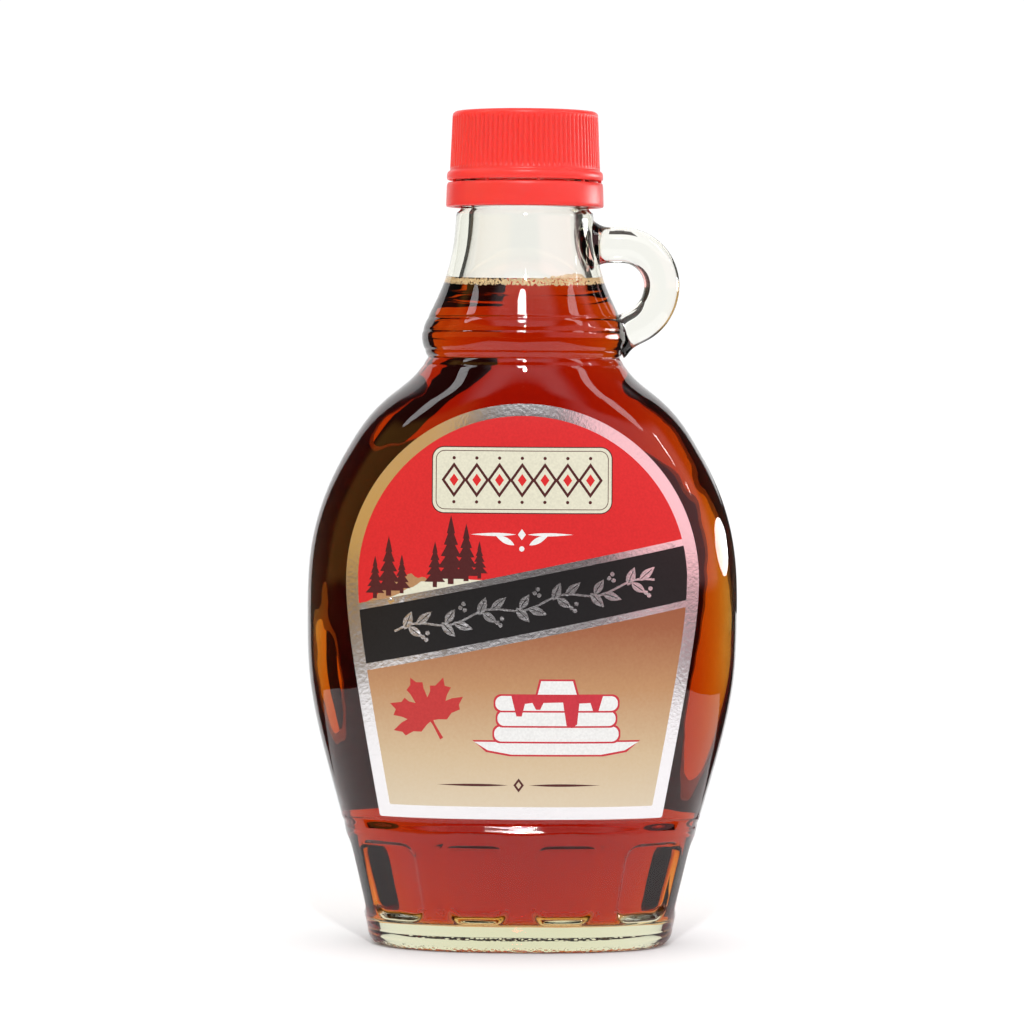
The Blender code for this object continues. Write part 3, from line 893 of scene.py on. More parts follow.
def ribTree():
    # pushes the wall's points in between the ribs, by the cosine of their turn times the count
    tree, inputs = newTree("capRibs", {
        "Count": "Float", "Depth": "Float", "Low": "Float", "High": "Float", "Low Fade": "Float",
        "High Fade": "Float", "Innermost": "Float", "Plastic": "Material",
    })
    place = addNode(tree, "GeometryNodeInputPosition").outputs[0]
    split = addNode(tree, "ShaderNodeSeparateXYZ", {0: place}).outputs
    turn = addNode(tree, "ShaderNodeMath", {0: split["Y"], 1: split["X"]}, operation="ARCTAN2")
    many = addNode(tree, "ShaderNodeMath", {0: turn.outputs[0], 1: inputs["Count"]}, operation="MULTIPLY")
    wave = addNode(tree, "ShaderNodeMath", {0: many.outputs[0]}, operation="COSINE")
    groove = addNode(tree, "ShaderNodeMapRange", {
        "Value": wave.outputs[0], "From Min": cap["ribCrest"], "From Max": cap["ribValley"],
    }, interpolation_type="SMOOTHSTEP")
    # how deep a point goes: in a groove, between the ribs' ends, on the outer wall
    parts = [groove.outputs[0]]
    for end, into in (("Low", "ADD"), ("High", "SUBTRACT")):
        full = addNode(tree, "ShaderNodeMath", {0: inputs[end], 1: inputs[end + " Fade"]}, operation=into)
        parts.append(addNode(tree, "ShaderNodeMapRange", {
            "Value": split["Z"], "From Min": inputs[end], "From Max": full.outputs[0],
        }, interpolation_type="SMOOTHSTEP").outputs[0])
    outer = addNode(tree, "ShaderNodeVectorMath", {0: place, 1: (1, 1, 0)}, operation="MULTIPLY").outputs[0]
    reach = addNode(tree, "ShaderNodeVectorMath", {0: outer}, operation="LENGTH").outputs["Value"]
    onWall = addNode(tree, "ShaderNodeMath", {0: reach, 1: inputs["Innermost"]}, operation="GREATER_THAN")
    parts += [onWall.outputs[0], inputs["Depth"], -1.0]
    inward = parts[0]
    for part in parts[1:]:
        inward = addNode(tree, "ShaderNodeMath", {0: inward, 1: part}, operation="MULTIPLY").outputs[0]
    outward = addNode(tree, "ShaderNodeVectorMath", {0: outer}, operation="NORMALIZE").outputs[0]
    offset = addNode(tree, "ShaderNodeVectorMath", {0: outward, "Scale": inward}, operation="SCALE")
    moved = addNode(tree, "GeometryNodeSetPosition", {
        "Geometry": inputs["Geometry"], "Offset": offset.outputs[0]})
    return endTree(tree, moved.outputs[0], inputs["Plastic"])


def makeCap(plastic):
    bottom, bore, ceiling = cap["bottom"], cap["bore"], cap["ceiling"]
    low, high = cap["ribLow"], cap["ribHigh"]
    edge = cap["boreEdge"]
    outline = [(radius, ceiling) for radius in (*cap["ceilingRings"], bore)]
    outline += [(bore, bottom + edge), (bore + edge, bottom)] + cap["beadOutline"]
    for z in np.linspace(low, high, cap["ribRows"]):
        outline.append((cap["wall"] - cap["lean"] * (z - low) / (high - low), z))
    outline += arcPoints(*cap["topEdge"], range(15, 91, 15)) + cap["topOutline"]
    sides = cap["ribs"] * cap["pointsPerRib"]
    piece = makeObject("screw_cap", *closedTube([roundRing(r, z, sides) for r, z in outline]), [plastic])
    applyTree(piece, ribTree(), {
        "Count": float(cap["ribs"]), "Depth": cap["ribDepth"] * mm, "Low": low * mm, "High": high * mm,
        "Low Fade": cap["ribFade"][0] * mm, "High Fade": cap["ribFade"][1] * mm,
        "Innermost": cap["ribInnermost"] * mm, "Plastic": plastic,
    })
    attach(piece, "root")
    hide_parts("cap")


def makeTamperRing(plastic):
    bottom, top, radius, bore = tamper["bottom"], tamper["top"], tamper["radius"], tamper["bore"]
    edge = tamper["boreEdge"]
    outline = [(bore, top), (bore, bottom + edge), (bore + edge, bottom)]
    outline += [(radius - inset, bottom + up) for inset, up in tamper["lowOutline"]]
    outline += [(radius - inset, top - down) for inset, down in tamper["highOutline"]]
    outline.append((bore + tamper["topInside"], top))
    sides = tamper["sides"]
    rows = [roundRing(r, z, sides) for r, z in outline]
    # the last row joins the first, which closes the ring's top
    faces = gridFaces(len(rows), sides)
    last = (len(rows) - 1) * sides
    faces += [(last + k, last + (k + 1) % sides, (k + 1) % sides, k) for k in range(sides)]
    piece = makeObject("tamper_band", np.concatenate(rows), faces, [plastic])
    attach(piece, "root")
    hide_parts("tamper_ring")


def postTree():
    tree, inputs = newTree("tamperPosts", {
        "Count": "Int", "Circle": "Float", "Radius": "Float", "Low": "Float", "High": "Float",
        "Plastic": "Material",
    })
    circle = addNode(tree, "GeometryNodeMeshCircle", {
        "Vertices": inputs["Count"], "Radius": inputs["Circle"]})
    ends = {0: inputs["High"], 1: inputs["Low"]}
    tall = addNode(tree, "ShaderNodeMath", ends, operation="SUBTRACT")
    post = addNode(tree, "GeometryNodeMeshCylinder", {
        "Vertices": tamper["postSides"], "Radius": inputs["Radius"], "Depth": tall.outputs[0]})
    both = addNode(tree, "ShaderNodeMath", ends, operation="ADD")
    middle = addNode(tree, "ShaderNodeMath", {0: both.outputs[0], 1: 0.5}, operation="MULTIPLY").outputs[0]
    lift = addNode(tree, "ShaderNodeCombineXYZ", {"Z": middle})
    placed = addNode(tree, "GeometryNodeInstanceOnPoints", {
        "Points": circle.outputs["Mesh"], "Instance": post.outputs["Mesh"]})
    moved = addNode(tree, "GeometryNodeTransform", {
        "Geometry": placed.outputs[0], "Translation": lift.outputs[0]})
    return endTree(tree, moved.outputs[0], inputs["Plastic"])


def makePosts(plastic):
    piece = makeObject("tamper_posts", [(0, 0, 0), (1, 0, 0), (0, 1, 0)], [(0, 1, 2)], [plastic])
    applyTree(piece, postTree(), {
        "Count": tamper["posts"], "Circle": tamper["postCircle"] * mm, "Radius": tamper["postRadius"] * mm,
        "Low": (tamper["top"] - tamper["postSunk"]) * mm, "High": (cap["bottom"] + tamper["postSunk"]) * mm,
        "Plastic": plastic,
    })
    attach(piece, "root")


capPlastic = makeCapPlastic()
makeCap(capPlastic)
makeTamperRing(capPlastic)
makePosts(capPlastic)
print("cap and tamper ring made")


# The labels

# taper is how fast the sides close towards the bottom
frontOutline = {"radius": 33.6, "top": 105.3, "bottom": 26.3, "taper": 0.185, "shift": 0.0}
backOutline = {"radius": 28.9, "top": 98.5, "bottom": 27.5, "taper": 0.165, "shift": -0.5}
label = {
    "taperStart": 1.9,
    "sunk": -0.03,  # the glued side, just inside the glass
    "lift": 0.14,
    "border": 2.3,
    "corner": 0.5,
    "fieldCorner": 0.35,
    "sideInset": 1.015,  # a border is this much wider along the sides
    "bottomInset": 1.05,  # and this much along the bottom
    "thinLine": [(2.2, 0.4), (2.5, 0.35)],  # the back label's: distance from its edge, and corner
    "grid": 1.5,
    "gridInset": (0.7, 0.3),  # the grid's own distance and corner
    "gridStart": 0.8,  # above the label's bottom
}
band = {
    "height": 66.95,  # of its middle at x = 0
    "slope": 0.205,
    "half": 5.25,
    "rule": 1.3,
}
plaque = {
    "box": (-17.3, 84.5, 16.9, 97.2),  # left, bottom, right, top
    # inset, corner and ink, each over the one before: a double line round a cream field
    "layers": [
        (0.0, 2.3, "brownInk"), (0.2, 2.1, "creamInk"), (0.75, 1.7, "brownInk"), (0.9, 1.55, "creamInk"),
    ],
    "middle": (-0.2, 90.85),
    "lozenges": 7,
    "pitch": 4.3,
    "lozenge": [(2.35, 3.3, "brownInk"), (1.75, 2.45, "creamInk"), (0.85, 1.2, "redInk")],
    "dotAway": 4.15,
    "dot": 0.32,
}
flourish = {
    # length, width, distance to the side, drop below the middle and tilt of the leaves on each side
    "middle": (-0.2, 80.6),
    "leaves": [(8.6, 0.62, 1.1, 0.0, 90), (4.2, 1.15, 1.4, 2.0, 62)],
    "lozenge": (0.75, 1.05),
    "dotDrop": 2.7,
    "dot": 0.5,
}
thinRule = {
    "middle": (-0.5, 32.9),
    "leaf": (13.5, 0.5),
    "away": 2.0,
    "lozenge": [(1.0, 1.35, "brownInk"), (0.5, 0.68, "paperFade")],
}
hills = {
    # ink, left, right, phase of the ridge's waves, height
    "ridges": [("tanInk", -29.6, -14.5, 0.3, 3.6), ("creamInk", -25.5, -7.5, 1.9, 2.1)],
    "ridgeEase": 1.4,  # how gently a ridge starts and ends
    "wave": (0.12, 2.3),  # share of the height, and turn for each mm
    # place and height of each pine
    "pines": [
        (-28.0, 7.6), (-25.4, 10.8), (-22.9, 6.9), (-16.6, 8.2), (-13.6, 12.6), (-10.7, 10.4), (-8.2, 6.6),
    ],
    "tiers": 5,
    "pineLift": 0.9,
    "trunk": (0.035, 0.12),  # its half width: a share of the height, and this much more
    "trunkEnds": (-0.5, 1.0),
    "skirt": 0.5,  # height of the lowest branches
    "spread": 0.24,  # their half width, as a share of the height
    "notch": (0.42, 0.82),  # where a tier turns in: share of its width and of its height
}
vine = {
    "start": -24.2,
    "end": 25.0,
    "units": 7,
    "swing": 0.75,
    "stem": 0.42,
    "leafRoot": 0.55,
    # tilt, length, width and shift of the leaves, and places of the berries, in each unit
    "leaves": [(58, 3.7, 1.75, -1.6), (30, 3.9, 1.6, 0.6), (-46, 3.3, 1.6, -0.9)],
    "rib": 0.14,
    "ribRun": (0.5, 0.8),  # from the leaf's root, and as a share of its length
    "ribBend": (0.42, 0.02),  # a share of its length, and how far aside
    "berries": [(1.9, -2.1), (2.75, -1.5), (2.5, -2.75)],
    "berry": 0.42,
}
mapleLeaf = {
    "place": (-17.1, 45.2),
    "size": 9.0,
    "tilt": 27,
    # right half from the tip down, then the stem
    "half": [
        (0.0, 1.0), (0.07, 0.86), (0.19, 0.80), (0.155, 0.68), (0.14, 0.47), (0.25, 0.56), (0.30, 0.67),
        (0.40, 0.62), (0.63, 0.70), (0.58, 0.53), (0.68, 0.44), (0.53, 0.33), (0.45, 0.235), (0.60, 0.225),
        (0.82, 0.15), (0.67, 0.04), (0.64, -0.06), (0.45, -0.05), (0.30, -0.13), (0.14, -0.05),
        (0.035, -0.02),
    ],
    "stem": [(0.03, -0.12), (0.055, -0.44), (-0.02, -0.45), (-0.02, -0.12)],
}
pancakes = {
    "middle": 6.6,
    "floor": 39.2,
    "line": 0.34,
    "cakes": [(2.1, 11.8, 2.9), (5.1, 11.2, 2.8), (8.0, 11.6, 2.8)],  # height, half width, thickness
    "plate": [(-15.6, 2.0), (-13.0, 0.4), (-8.5, -0.4), (8.5, -0.4), (13.0, 0.4), (15.6, 2.0)],
    "top": 10.8,
    # syrup running over the edge, and a pat of butter, from the middle and the top
    "drip": [
        (-8.6, 0.05), (-8.3, -1.2), (-7.6, -3.9), (-6.6, -3.9), (-6.0, -1.5), (-4.6, -1.3), (-3.9, -2.6),
        (-3.1, -2.6), (-2.5, -1.3), (1.2, -1.2), (1.9, -5.6), (2.9, -6.1), (3.9, -5.4), (4.3, -1.4),
        (6.4, -1.3), (7.0, -3.1), (7.9, -3.0), (8.5, -0.9), (8.8, 0.05),
    ],
    "butterEdge": [(-4.1, -0.05), (4.3, -0.05), (3.4, 3.2), (-3.3, 3.2)],
    "butter": [(-3.6, 0.3), (3.8, 0.3), (3.05, 2.85), (-2.95, 2.85)],
}


def labelHalf(shape, z, inset=0.0):
    # half the label's width at height z, below the round top and in it
    centre = shape["top"] - shape["radius"]
    if z > centre:
        return math.sqrt(max(0.0, (shape["radius"] - inset) ** 2 - (z - centre) ** 2))
    start = label["taperStart"]
    closing = math.hypot(shape["taper"] * (centre - z), start) - start
    return shape["radius"] - inset * label["sideInset"] - closing


def labelOutline(shape, inset, corner):
    # anticlockwise from the bottom left corner, which is a small arc
    bottom = shape["bottom"] + inset * label["bottomInset"]
    centre = shape["top"] - shape["radius"]
    cornerTop = bottom + corner
    half = labelHalf(shape, cornerTop, inset)
    points = arcPoints(-half + corner, cornerTop, corner, range(180, 271, 15))
    points += [(x, bottom) for x in np.linspace(-half + corner, half - corner, 40)[1:-1]]
    points += arcPoints(half - corner, cornerTop, corner, range(270, 361, 15))
    points += [(labelHalf(shape, z, inset), z) for z in np.linspace(cornerTop, centre, 32)[1:]]
    arc = shape["radius"] - inset
    points += [(arc * math.cos(t), centre + arc * math.sin(t)) for t in np.linspace(0, math.pi, 160)[1:-1]]
    points += [(-labelHalf(shape, z, inset), z) for z in np.linspace(centre, cornerTop, 32)[:-1]]
    return [(x + shape["shift"], z) for x, z in points]


def frontDepth(x, z):
    halfWidth, halfDepth, squareness = outerSection(z)
    share = min(abs(x / halfWidth) ** squareness, 0.999)
    return -halfDepth * (1 - share) ** (1 / squareness)


def onFront(x, z, lift):
    # a point off the glass's front by lift along its normal
    e = 0.15
    alongX = (frontDepth(x + e, z) - frontDepth(x - e, z)) / (2 * e)
    alongZ = (frontDepth(x, z + e) - frontDepth(x, z - e)) / (2 * e)
    normal = np.array((alongX, -1.0, alongZ)) / math.sqrt(alongX**2 + alongZ**2 + 1)
    return np.array((x, frontDepth(x, z), z)) + normal * lift


def turned(points, angle, place, scale=1.0):
    c, s = math.cos(math.radians(angle)) * scale, math.sin(math.radians(angle)) * scale
    return [(place[0] + c * x - s * z, place[1] + s * x + c * z) for x, z in points]


def roundedBox(x0, z0, x1, z1, corner, parts=8):
    points = []
    for cx, cz, first in ((x1 - corner, z0 + corner, -90), (x1 - corner, z1 - corner, 0),
                          (x0 + corner, z1 - corner, 90), (x0 + corner, z0 + corner, 180)):
        points += arcPoints(cx, cz, corner, np.linspace(first, first + 90, parts + 1))
    return points


def dotShape(x, z, radius, count=12):
    turns = np.linspace(0, 2 * math.pi, count, endpoint=False)
    return [(x + radius * math.cos(t), z + radius * math.sin(t)) for t in turns]


def leafShape(length, width):
    # a lens from (0, 0) to (length, 0)
    upper = [(length * x, width / 2 * math.sin(math.pi * x**0.85)) for x in np.linspace(0, 1, 9)]
    return upper + [(x, -z) for x, z in upper[-2:0:-1]]


def stripe(points, width):
    # a line of a width along points, its ends cut square
    line = np.array(points, float)
    along = np.gradient(line, axis=0)
    along /= np.linalg.norm(along, axis=1)[:, None]
    side = np.column_stack((-along[:, 1], along[:, 0])) * width / 2
    return [tuple(p) for p in line - side] + [tuple(p) for p in (line + side)[::-1]]


def lozengeShape(x, z, halfWide, halfHigh):
    return [(x + halfWide, z), (x, z + halfHigh), (x - halfWide, z), (x, z - halfHigh)]


def cutAbove(outline, height, keep=1):
    # the part of an outline above a line that slants as the band does, or below it with keep -1
    result = []
    for point, after in zip(outline, outline[1:] + outline[:1]):
        d0, d1 = [keep * (z - band["slope"] * x - height) for x, z in (point, after)]
        if d0 >= 0:
            result.append(point)
        if (d0 >= 0) != (d1 >= 0):
            t = d0 / (d0 - d1)
            result.append((point[0] + t * (after[0] - point[0]), point[1] + t * (after[1] - point[1])))
    return result


def drawFields():
    # red above the black band and fading paper below it, with a rule of bare foil on each side
    field = labelOutline(frontOutline, label["border"], label["fieldCorner"])
    middle, half, rule = band["height"], band["half"], band["rule"]
    black = cutAbove(cutAbove(field, middle - half), middle + half, -1)
    return [
        ("foil", labelOutline(frontOutline, 0.0, label["corner"])),
        ("redInk", cutAbove(field, middle + half + rule)), ("blackInk", black),
        ("paperFade", cutAbove(field, middle - half - rule, -1)),
    ]


def drawPlaque():
    # a frieze of lozenges between two rows of dots
    left, bottom, right, top = plaque["box"]
    shapes = []
    for inset, corner, ink in plaque["layers"]:
        box = roundedBox(left + inset, bottom + inset, right - inset, top - inset, corner)
        shapes.append((ink, box))
    middleX, z = plaque["middle"]
    for k in range(plaque["lozenges"]):
        x = middleX + (k - (plaque["lozenges"] - 1) / 2) * plaque["pitch"]
        shapes += [(ink, lozengeShape(x, z, wide, high)) for wide, high, ink in plaque["lozenge"]]
        shapes += [("brownInk", dotShape(x, z + side * plaque["dotAway"], plaque["dot"])) for side in (-1, 1)]
    return shapes


def drawFlourish():
    x, z = flourish["middle"]
    shapes = []
    for side in (-1, 1):
        for length, width, away, drop, tilt in flourish["leaves"]:
            shapes.append(turned(leafShape(length, width), 90 - side * tilt, (x + side * away, z - drop)))
    shapes.append(lozengeShape(x, z, *flourish["lozenge"]))
    shapes.append(dotShape(x, z - flourish["dotDrop"], flourish["dot"], 14))
    return [("whiteInk", shape) for shape in shapes]


def drawHills():
    shapes = []
    wave, waveTurn = hills["wave"]

    def ground(x):
        return band["height"] + band["half"] + band["rule"] + band["slope"] * x

    for ink, left, right, phase, height in hills["ridges"]:
        xs = np.linspace(left, right, 24)
        ridge = [height * math.sin(math.pi * (x - left) / (right - left)) ** hills["ridgeEase"]
                 * (1 + wave * math.sin(waveTurn * x + phase)) for x in xs]
        top = [(x, ground(x) + rise) for x, rise in zip(xs, ridge)]
        shapes.append((ink, top[::-1] + [(x, ground(x)) for x in xs]))
    # a pine is a trunk and tiers of branches that narrow upwards
    tiers, skirt = hills["tiers"], hills["skirt"]
    trunkShare, trunkMore = hills["trunk"]
    root, crown = hills["trunkEnds"]
    notchWidth, notchHeight = hills["notch"]
    for x, height in hills["pines"]:
        base = ground(x) + hills["pineLift"]
        trunk = height * trunkShare + trunkMore
        shapes.append(("brownInk", [(x + side * trunk, base + rise)
                                    for side, rise in ((-1, root), (1, root), (1, crown), (-1, crown))]))
        right = []
        for t in range(tiers):
            z = base + skirt + (height - skirt) * t / (tiers + 0.6)
            w = height * hills["spread"] * (1 - t / (tiers + 0.4))
            right += [(w, z), (w * notchWidth, z + (height / tiers) * notchHeight)]
        right.append((0.0, base + height))
        shapes.append(("brownInk", [(x + w, z) for w, z in right] + [(x - w, z) for w, z in right[-2::-1]]))
    return shapes


def drawVine():
    # silver sprays of leaves along the black band
    slope = math.degrees(math.atan(band["slope"]))
    start, end = vine["start"], vine["end"]
    pitch = (end - start) / vine["units"]

    def along(x, dz):
        return (x, band["height"] + band["slope"] * x + dz)

    xs = np.linspace(start, end, 90)
    stem = [along(x, vine["swing"] * math.sin(math.pi * (x - start) / pitch)) for x in xs]
    shapes = [("foil", stripe(stem, vine["stem"]))]
    ribStart, ribEnd = vine["ribRun"]
    ribBend, ribAside = vine["ribBend"]
    for k in range(vine["units"]):
        x = start + (k + 0.5) * pitch
        sign = 1 if k % 2 == 0 else -1
        for tilt, length, width, shift in vine["leaves"]:
            place = along(x + shift, vine["leafRoot"] * sign * math.cos(shift))
            run = [(ribStart, 0.0), (length * ribBend, ribAside), (length * ribEnd, 0.0)]
            rib = stripe(run, vine["rib"])
            shapes.append(("foil", turned(leafShape(length, width), slope + sign * tilt, place)))
            shapes.append(("blackInk", turned(rib, slope + sign * tilt, place)))
        shapes += [("foil", dotShape(*along(x + dx, sign * dz), vine["berry"])) for dx, dz in vine["berries"]]
    return shapes


def drawMapleLeaf():
    half = mapleLeaf["half"]
    outline = half + mapleLeaf["stem"] + [(-x, z) for x, z in half[:0:-1]]
    return [("leafInk", turned(outline, mapleLeaf["tilt"], mapleLeaf["place"], mapleLeaf["size"]))]


def drawPancakes():
    # white shapes with a red line round each: a plate, three cakes, and butter on the syrup
    middle, floor, line = pancakes["middle"], pancakes["floor"], pancakes["line"]
    top = floor + pancakes["top"]
    shapes = []
    for ink, grow in (("redLine", line), ("whiteInk", 0.0)):
        shapes.append((ink, [(middle + x + (grow if x > 0 else -grow), floor + z + (grow if z > 1 else -grow))
                             for x, z in pancakes["plate"]]))
    for z, half, thick in pancakes["cakes"]:
        z += floor
        shapes.append(("redLine", roundedBox(
            middle - half - line, z - line, middle + half + line, z + thick + line, thick / 2, 10)))
        shapes.append(("whiteInk", roundedBox(
            middle - half, z, middle + half, z + thick, thick / 2 - 0.1, 10)))
    for ink, outline in (("redLine", "drip"), ("redLine", "butterEdge"), ("whiteInk", "butter")):
        shapes.append((ink, [(middle + x, top + z) for x, z in pancakes[outline]]))
    return shapes


def drawThinRule():
    x, z = thinRule["middle"]
    shapes = []
    for side in (-1, 1):
        leaf = turned(leafShape(*thinRule["leaf"]), 0 if side > 0 else 180, (x + side * thinRule["away"], z))
        shapes.append(("brownInk", leaf))
    shapes += [(ink, lozengeShape(x, z, wide, high)) for wide, high, ink in thinRule["lozenge"]]
    return shapes


def drawFront():
    # (ink, outline) in the order of printing, later ones on top
    shapes = drawFields() + drawPlaque() + drawFlourish() + drawHills() + drawVine()
    return shapes + drawMapleLeaf() + drawPancakes() + drawThinRule()


def drawBack():
    outer, inner = label["thinLine"]
    return [
        ("backPaper", labelOutline(backOutline, 0.0, label["corner"])),
        ("brownInk", labelOutline(backOutline, *outer)),
        ("backPaper", labelOutline(backOutline, *inner)),
    ]


def divided(outline, longest):
    # the same outline with its long sides cut up, so that it can follow the curved glass
    result = []
    for (x0, z0), (x1, z1) in zip(outline, outline[1:] + outline[:1]):
        count = max(1, math.ceil(math.hypot(x1 - x0, z1 - z0) / longest))
        result += [(x0 + (x1 - x0) * k / count, z0 + (z1 - z0) * k / count) for k in range(count)]
    return result


def insideOf(outline, x, z):
    # which of the points lie in a polygon
    poly = np.array(outline, float)
    after = np.roll(poly, -1, axis=0)
    result = np.zeros(len(x), bool)
    for (x0, z0), (x1, z1) in zip(poly, after):
        if z0 != z1:
            crosses = (z0 > z) != (z1 > z)
            result ^= crosses & (x < (x1 - x0) * (z - z0) / (z1 - z0) + x0)
    return result


def cutSheet(shape, outlines):
    # flat points and triangles of a label, cut along the edges of its colours
    points, edges = [], []
    for outline in outlines:
        first = len(points)
        points += [Vector(p) for p in divided(outline, label["grid"])]
        count = len(points) - first
        edges += [(first + k, first + (k + 1) % count) for k in range(count)]
    xs = np.arange(-shape["radius"] - 1, shape["radius"] + 1, label["grid"])
    zs = np.arange(shape["bottom"] + label["gridStart"], shape["top"], label["grid"])
    gridX, gridZ = [a.ravel() for a in np.meshgrid(xs, zs)]
    well = insideOf(labelOutline(shape, *label["gridInset"]), gridX, gridZ)
    points += [Vector(p) for p in zip(gridX[well], gridZ[well])]
    made = geometry.delaunay_2d_cdt(points, edges, [], 0, 1e-5)
    flat, faces = np.array([tuple(p) for p in made[0]]), np.array(made[2])
    middle = flat[faces].mean(axis=1)
    faces = faces[insideOf(outlines[0], *middle.T)]
    corner = flat[faces]
    area = np.cross(corner[:, 1] - corner[:, 0], corner[:, 2] - corner[:, 0])
    faces[area < 0] = faces[area < 0][:, ::-1]
    return flat, faces


def makeSheet(name, shape, shapes, facing, materials):
    # a printed sheet bent round the bulb, with a paper back and edge; facing is 1 in front
    flat, faces = cutSheet(shape, [outline for ink, outline in shapes])
    middle = flat[faces].mean(axis=1)
    inks = sorted({ink for ink, outline in shapes})
    inkOf = np.zeros(len(faces), int)
    for ink, outline in shapes:
        inkOf[insideOf(outline, *middle.T)] = inks.index(ink)
    front = [onFront(x, z, label["lift"]) for x, z in flat]
    back = [onFront(x, z, label["sunk"]) for x, z in flat]
    points = np.array(front + back)
    points[:, 1] *= facing
    count = len(flat)
    sides = {(int(f[k]), int(f[(k + 1) % 3])) for f in faces for k in range(3)}
    rim = sorted((p, q) for p, q in sides if (q, p) not in sides)
    allFaces = [(a, b, c) for a, b, c in faces.tolist()]
    allFaces += [(a + count, c + count, b + count) for a, b, c in faces.tolist()]
    allFaces += [(q, p, p + count, q + count) for p, q in rim]
    if facing < 0:
        allFaces = [tuple(reversed(f)) for f in allFaces]
    sheet = makeObject(name, points, allFaces, [materials[ink] for ink in inks + ["paperBack"]])
    index = list(inkOf) + [len(inks)] * (len(faces) + len(rim))
    sheet.data.polygons.foreach_set("material_index", index)
    sharp = {frozenset((p + side, q + side)) for p, q in rim for side in (0, count)}
    for edge in sheet.data.edges:
        if frozenset(edge.vertices) in sharp:
            edge.use_edge_sharp = True
    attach(sheet, "root")
    return sheet


labelInks = {
    "redInk": "#E2181B", "blackInk": "#131214", "creamInk": "#E8E6CE", "brownInk": "#551819",
    "whiteInk": "#F4F6F4", "leafInk": "#C9302F", "redLine": "#CF2B3B", "tanInk": "#B98A5C",
}
labelPapers = {"paperBack": "#B9B4AC", "backPaper": "#E9E2D0"}
labelPattern = {
    # the sizes of grain in mm. The screen of offset print is about 0.15, too fine to show, so the
    # inks' grain is drawn coarser
    "inkGrain": 0.435,
    "fadeGrain": 0.588,
    "fadeShift": 2.2,  # how far the grain moves the fade up and down
    "foilPebble": 0.667,
    "foilRelief": 0.12,
    "fibre": 1.11,
    "inkShade": 0.76,
    # how dark and light the grain gets, and what the varnish's haze adds to the light
    "inkGrainRange": (0.93, 1.05),
    "haze": 0.002,
    "fibreDark": 0.9,
    # the fade's heights, and its colours from the bottom up
    "fade": (28.0, 75.0),
    "fadeColours": [
        (0.0, "#C9BCA3"), (0.22, "#C0AA88"), (0.5, "#AC8056"), (0.75, "#8F5230"), (1.0, "#824022"),
    ],
}


def makeInk(name, colour):
    # offset ink under a satin varnish: fine screen grain in the colour
    ink, tree, shader = newMaterial(name, {"Roughness": 0.4, "IOR": 1.4})
    where = addNode(tree, "ShaderNodeTexCoord").outputs["Object"]
    grain = addNode(tree, "ShaderNodeTexNoise", {
        "Vector": where, "Scale": 1 / (labelPattern["inkGrain"] * mm), "Detail": 2.0})
    shade = [labelPattern["inkShade"] * c for c in srgb(colour)]
    darkest, lightest = labelPattern["inkGrainRange"]
    dark = [c * darkest for c in shade]
    light = [min(1.0, c * lightest + labelPattern["haze"]) for c in shade]
    ramp = addNode(tree, "ShaderNodeValToRGB", {"Fac": grain.outputs[0]})
    setRamp(ramp, [(0.3, (*dark, 1.0)), (0.7, (*light, 1.0))])
    tree.links.new(ramp.outputs[0], shader.inputs["Base Color"])
    return ink


def makeFoil():
    # aluminium foil laid on paper: a soft mirror that shows the pebble of the paper under it
    foil, tree, shader = newMaterial("foil", {
        "Base Color": rgba("#E4E4E6"), "Metallic": 1.0, "Roughness": 0.27})
    where = addNode(tree, "ShaderNodeTexCoord").outputs["Object"]
    pebble = addNode(tree, "ShaderNodeTexNoise", {
        "Vector": where, "Scale": 1 / (labelPattern["foilPebble"] * mm), "Detail": 2.0})
    bump = addNode(tree, "ShaderNodeBump", {
        "Height": pebble.outputs[0], "Strength": 0.35, "Distance": labelPattern["foilRelief"] * mm})
    tree.links.new(bump.outputs[0], shader.inputs["Normal"])
    return foil


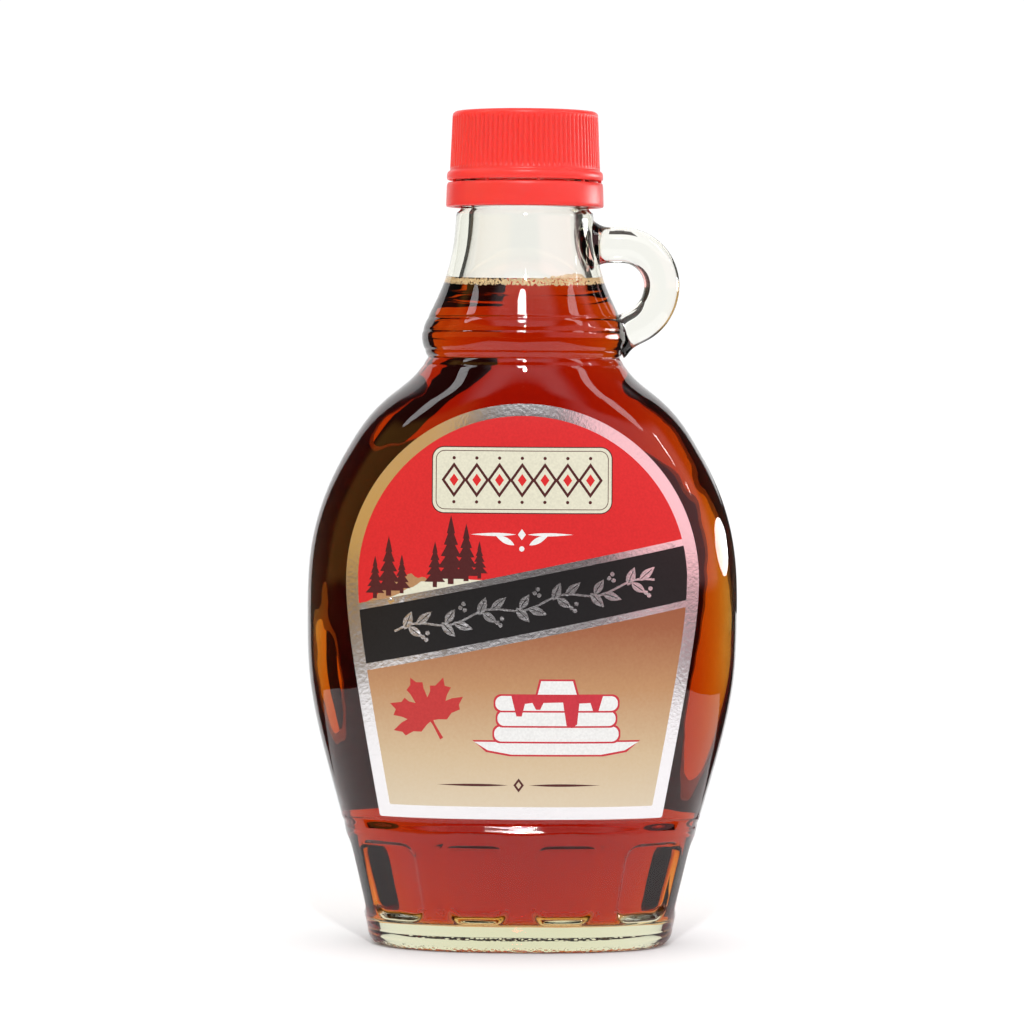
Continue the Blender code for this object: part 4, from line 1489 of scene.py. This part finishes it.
def makeFade():
    # screened ink that fades from brown under the band to cream at the bottom, a little grainy
    fade, tree, shader = newMaterial("paperFade", {"Roughness": 0.42})
    where = addNode(tree, "ShaderNodeTexCoord").outputs["Object"]
    split = addNode(tree, "ShaderNodeSeparateXYZ", {0: where})
    grain = addNode(tree, "ShaderNodeTexNoise", {
        "Vector": where, "Scale": 1 / (labelPattern["fadeGrain"] * mm), "Detail": 3.0})
    most = labelPattern["fadeShift"] * mm
    shift = addNode(tree, "ShaderNodeMapRange", {"Value": grain.outputs[0], "To Min": -most, "To Max": most})
    height = addNode(tree, "ShaderNodeMath", {0: split.outputs["Z"], 1: shift.outputs[0]}, operation="ADD")
    low, high = labelPattern["fade"]
    share = addNode(tree, "ShaderNodeMapRange", {
        "Value": height.outputs[0], "From Min": low * mm, "From Max": high * mm})
    ramp = addNode(tree, "ShaderNodeValToRGB", {"Fac": share.outputs[0]})
    setRamp(ramp, [(stop, rgba(colour)) for stop, colour in labelPattern["fadeColours"]])
    tree.links.new(ramp.outputs[0], shader.inputs["Base Color"])
    return fade


def makePaper(name, colour):
    # uncoated label paper: matt, with a cloudy look where its fibres lie thicker
    paper, tree, shader = newMaterial(name, {"Roughness": 0.75})
    where = addNode(tree, "ShaderNodeTexCoord").outputs["Object"]
    fibre = addNode(tree, "ShaderNodeTexNoise", {
        "Vector": where, "Scale": 1 / (labelPattern["fibre"] * mm), "Detail": 5.0})
    ramp = addNode(tree, "ShaderNodeValToRGB", {"Fac": fibre.outputs[0]})
    dark = [c * labelPattern["fibreDark"] for c in srgb(colour)]
    setRamp(ramp, [(0.3, (*dark, 1.0)), (0.7, rgba(colour))])
    tree.links.new(ramp.outputs[0], shader.inputs["Base Color"])
    return paper


def makeLabels():
    materials = {name: makeInk(name, colour) for name, colour in labelInks.items()}
    materials["foil"] = makeFoil()
    materials["paperFade"] = makeFade()
    for name, colour in labelPapers.items():
        materials[name] = makePaper(name, colour)
    frontLabel = makeSheet("front_print", frontOutline, drawFront(), 1, materials)
    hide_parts("front_label")
    backLabel = makeSheet("back_paper", backOutline, drawBack(), -1, materials)
    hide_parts("back_label")


makeLabels()
print("labels made")
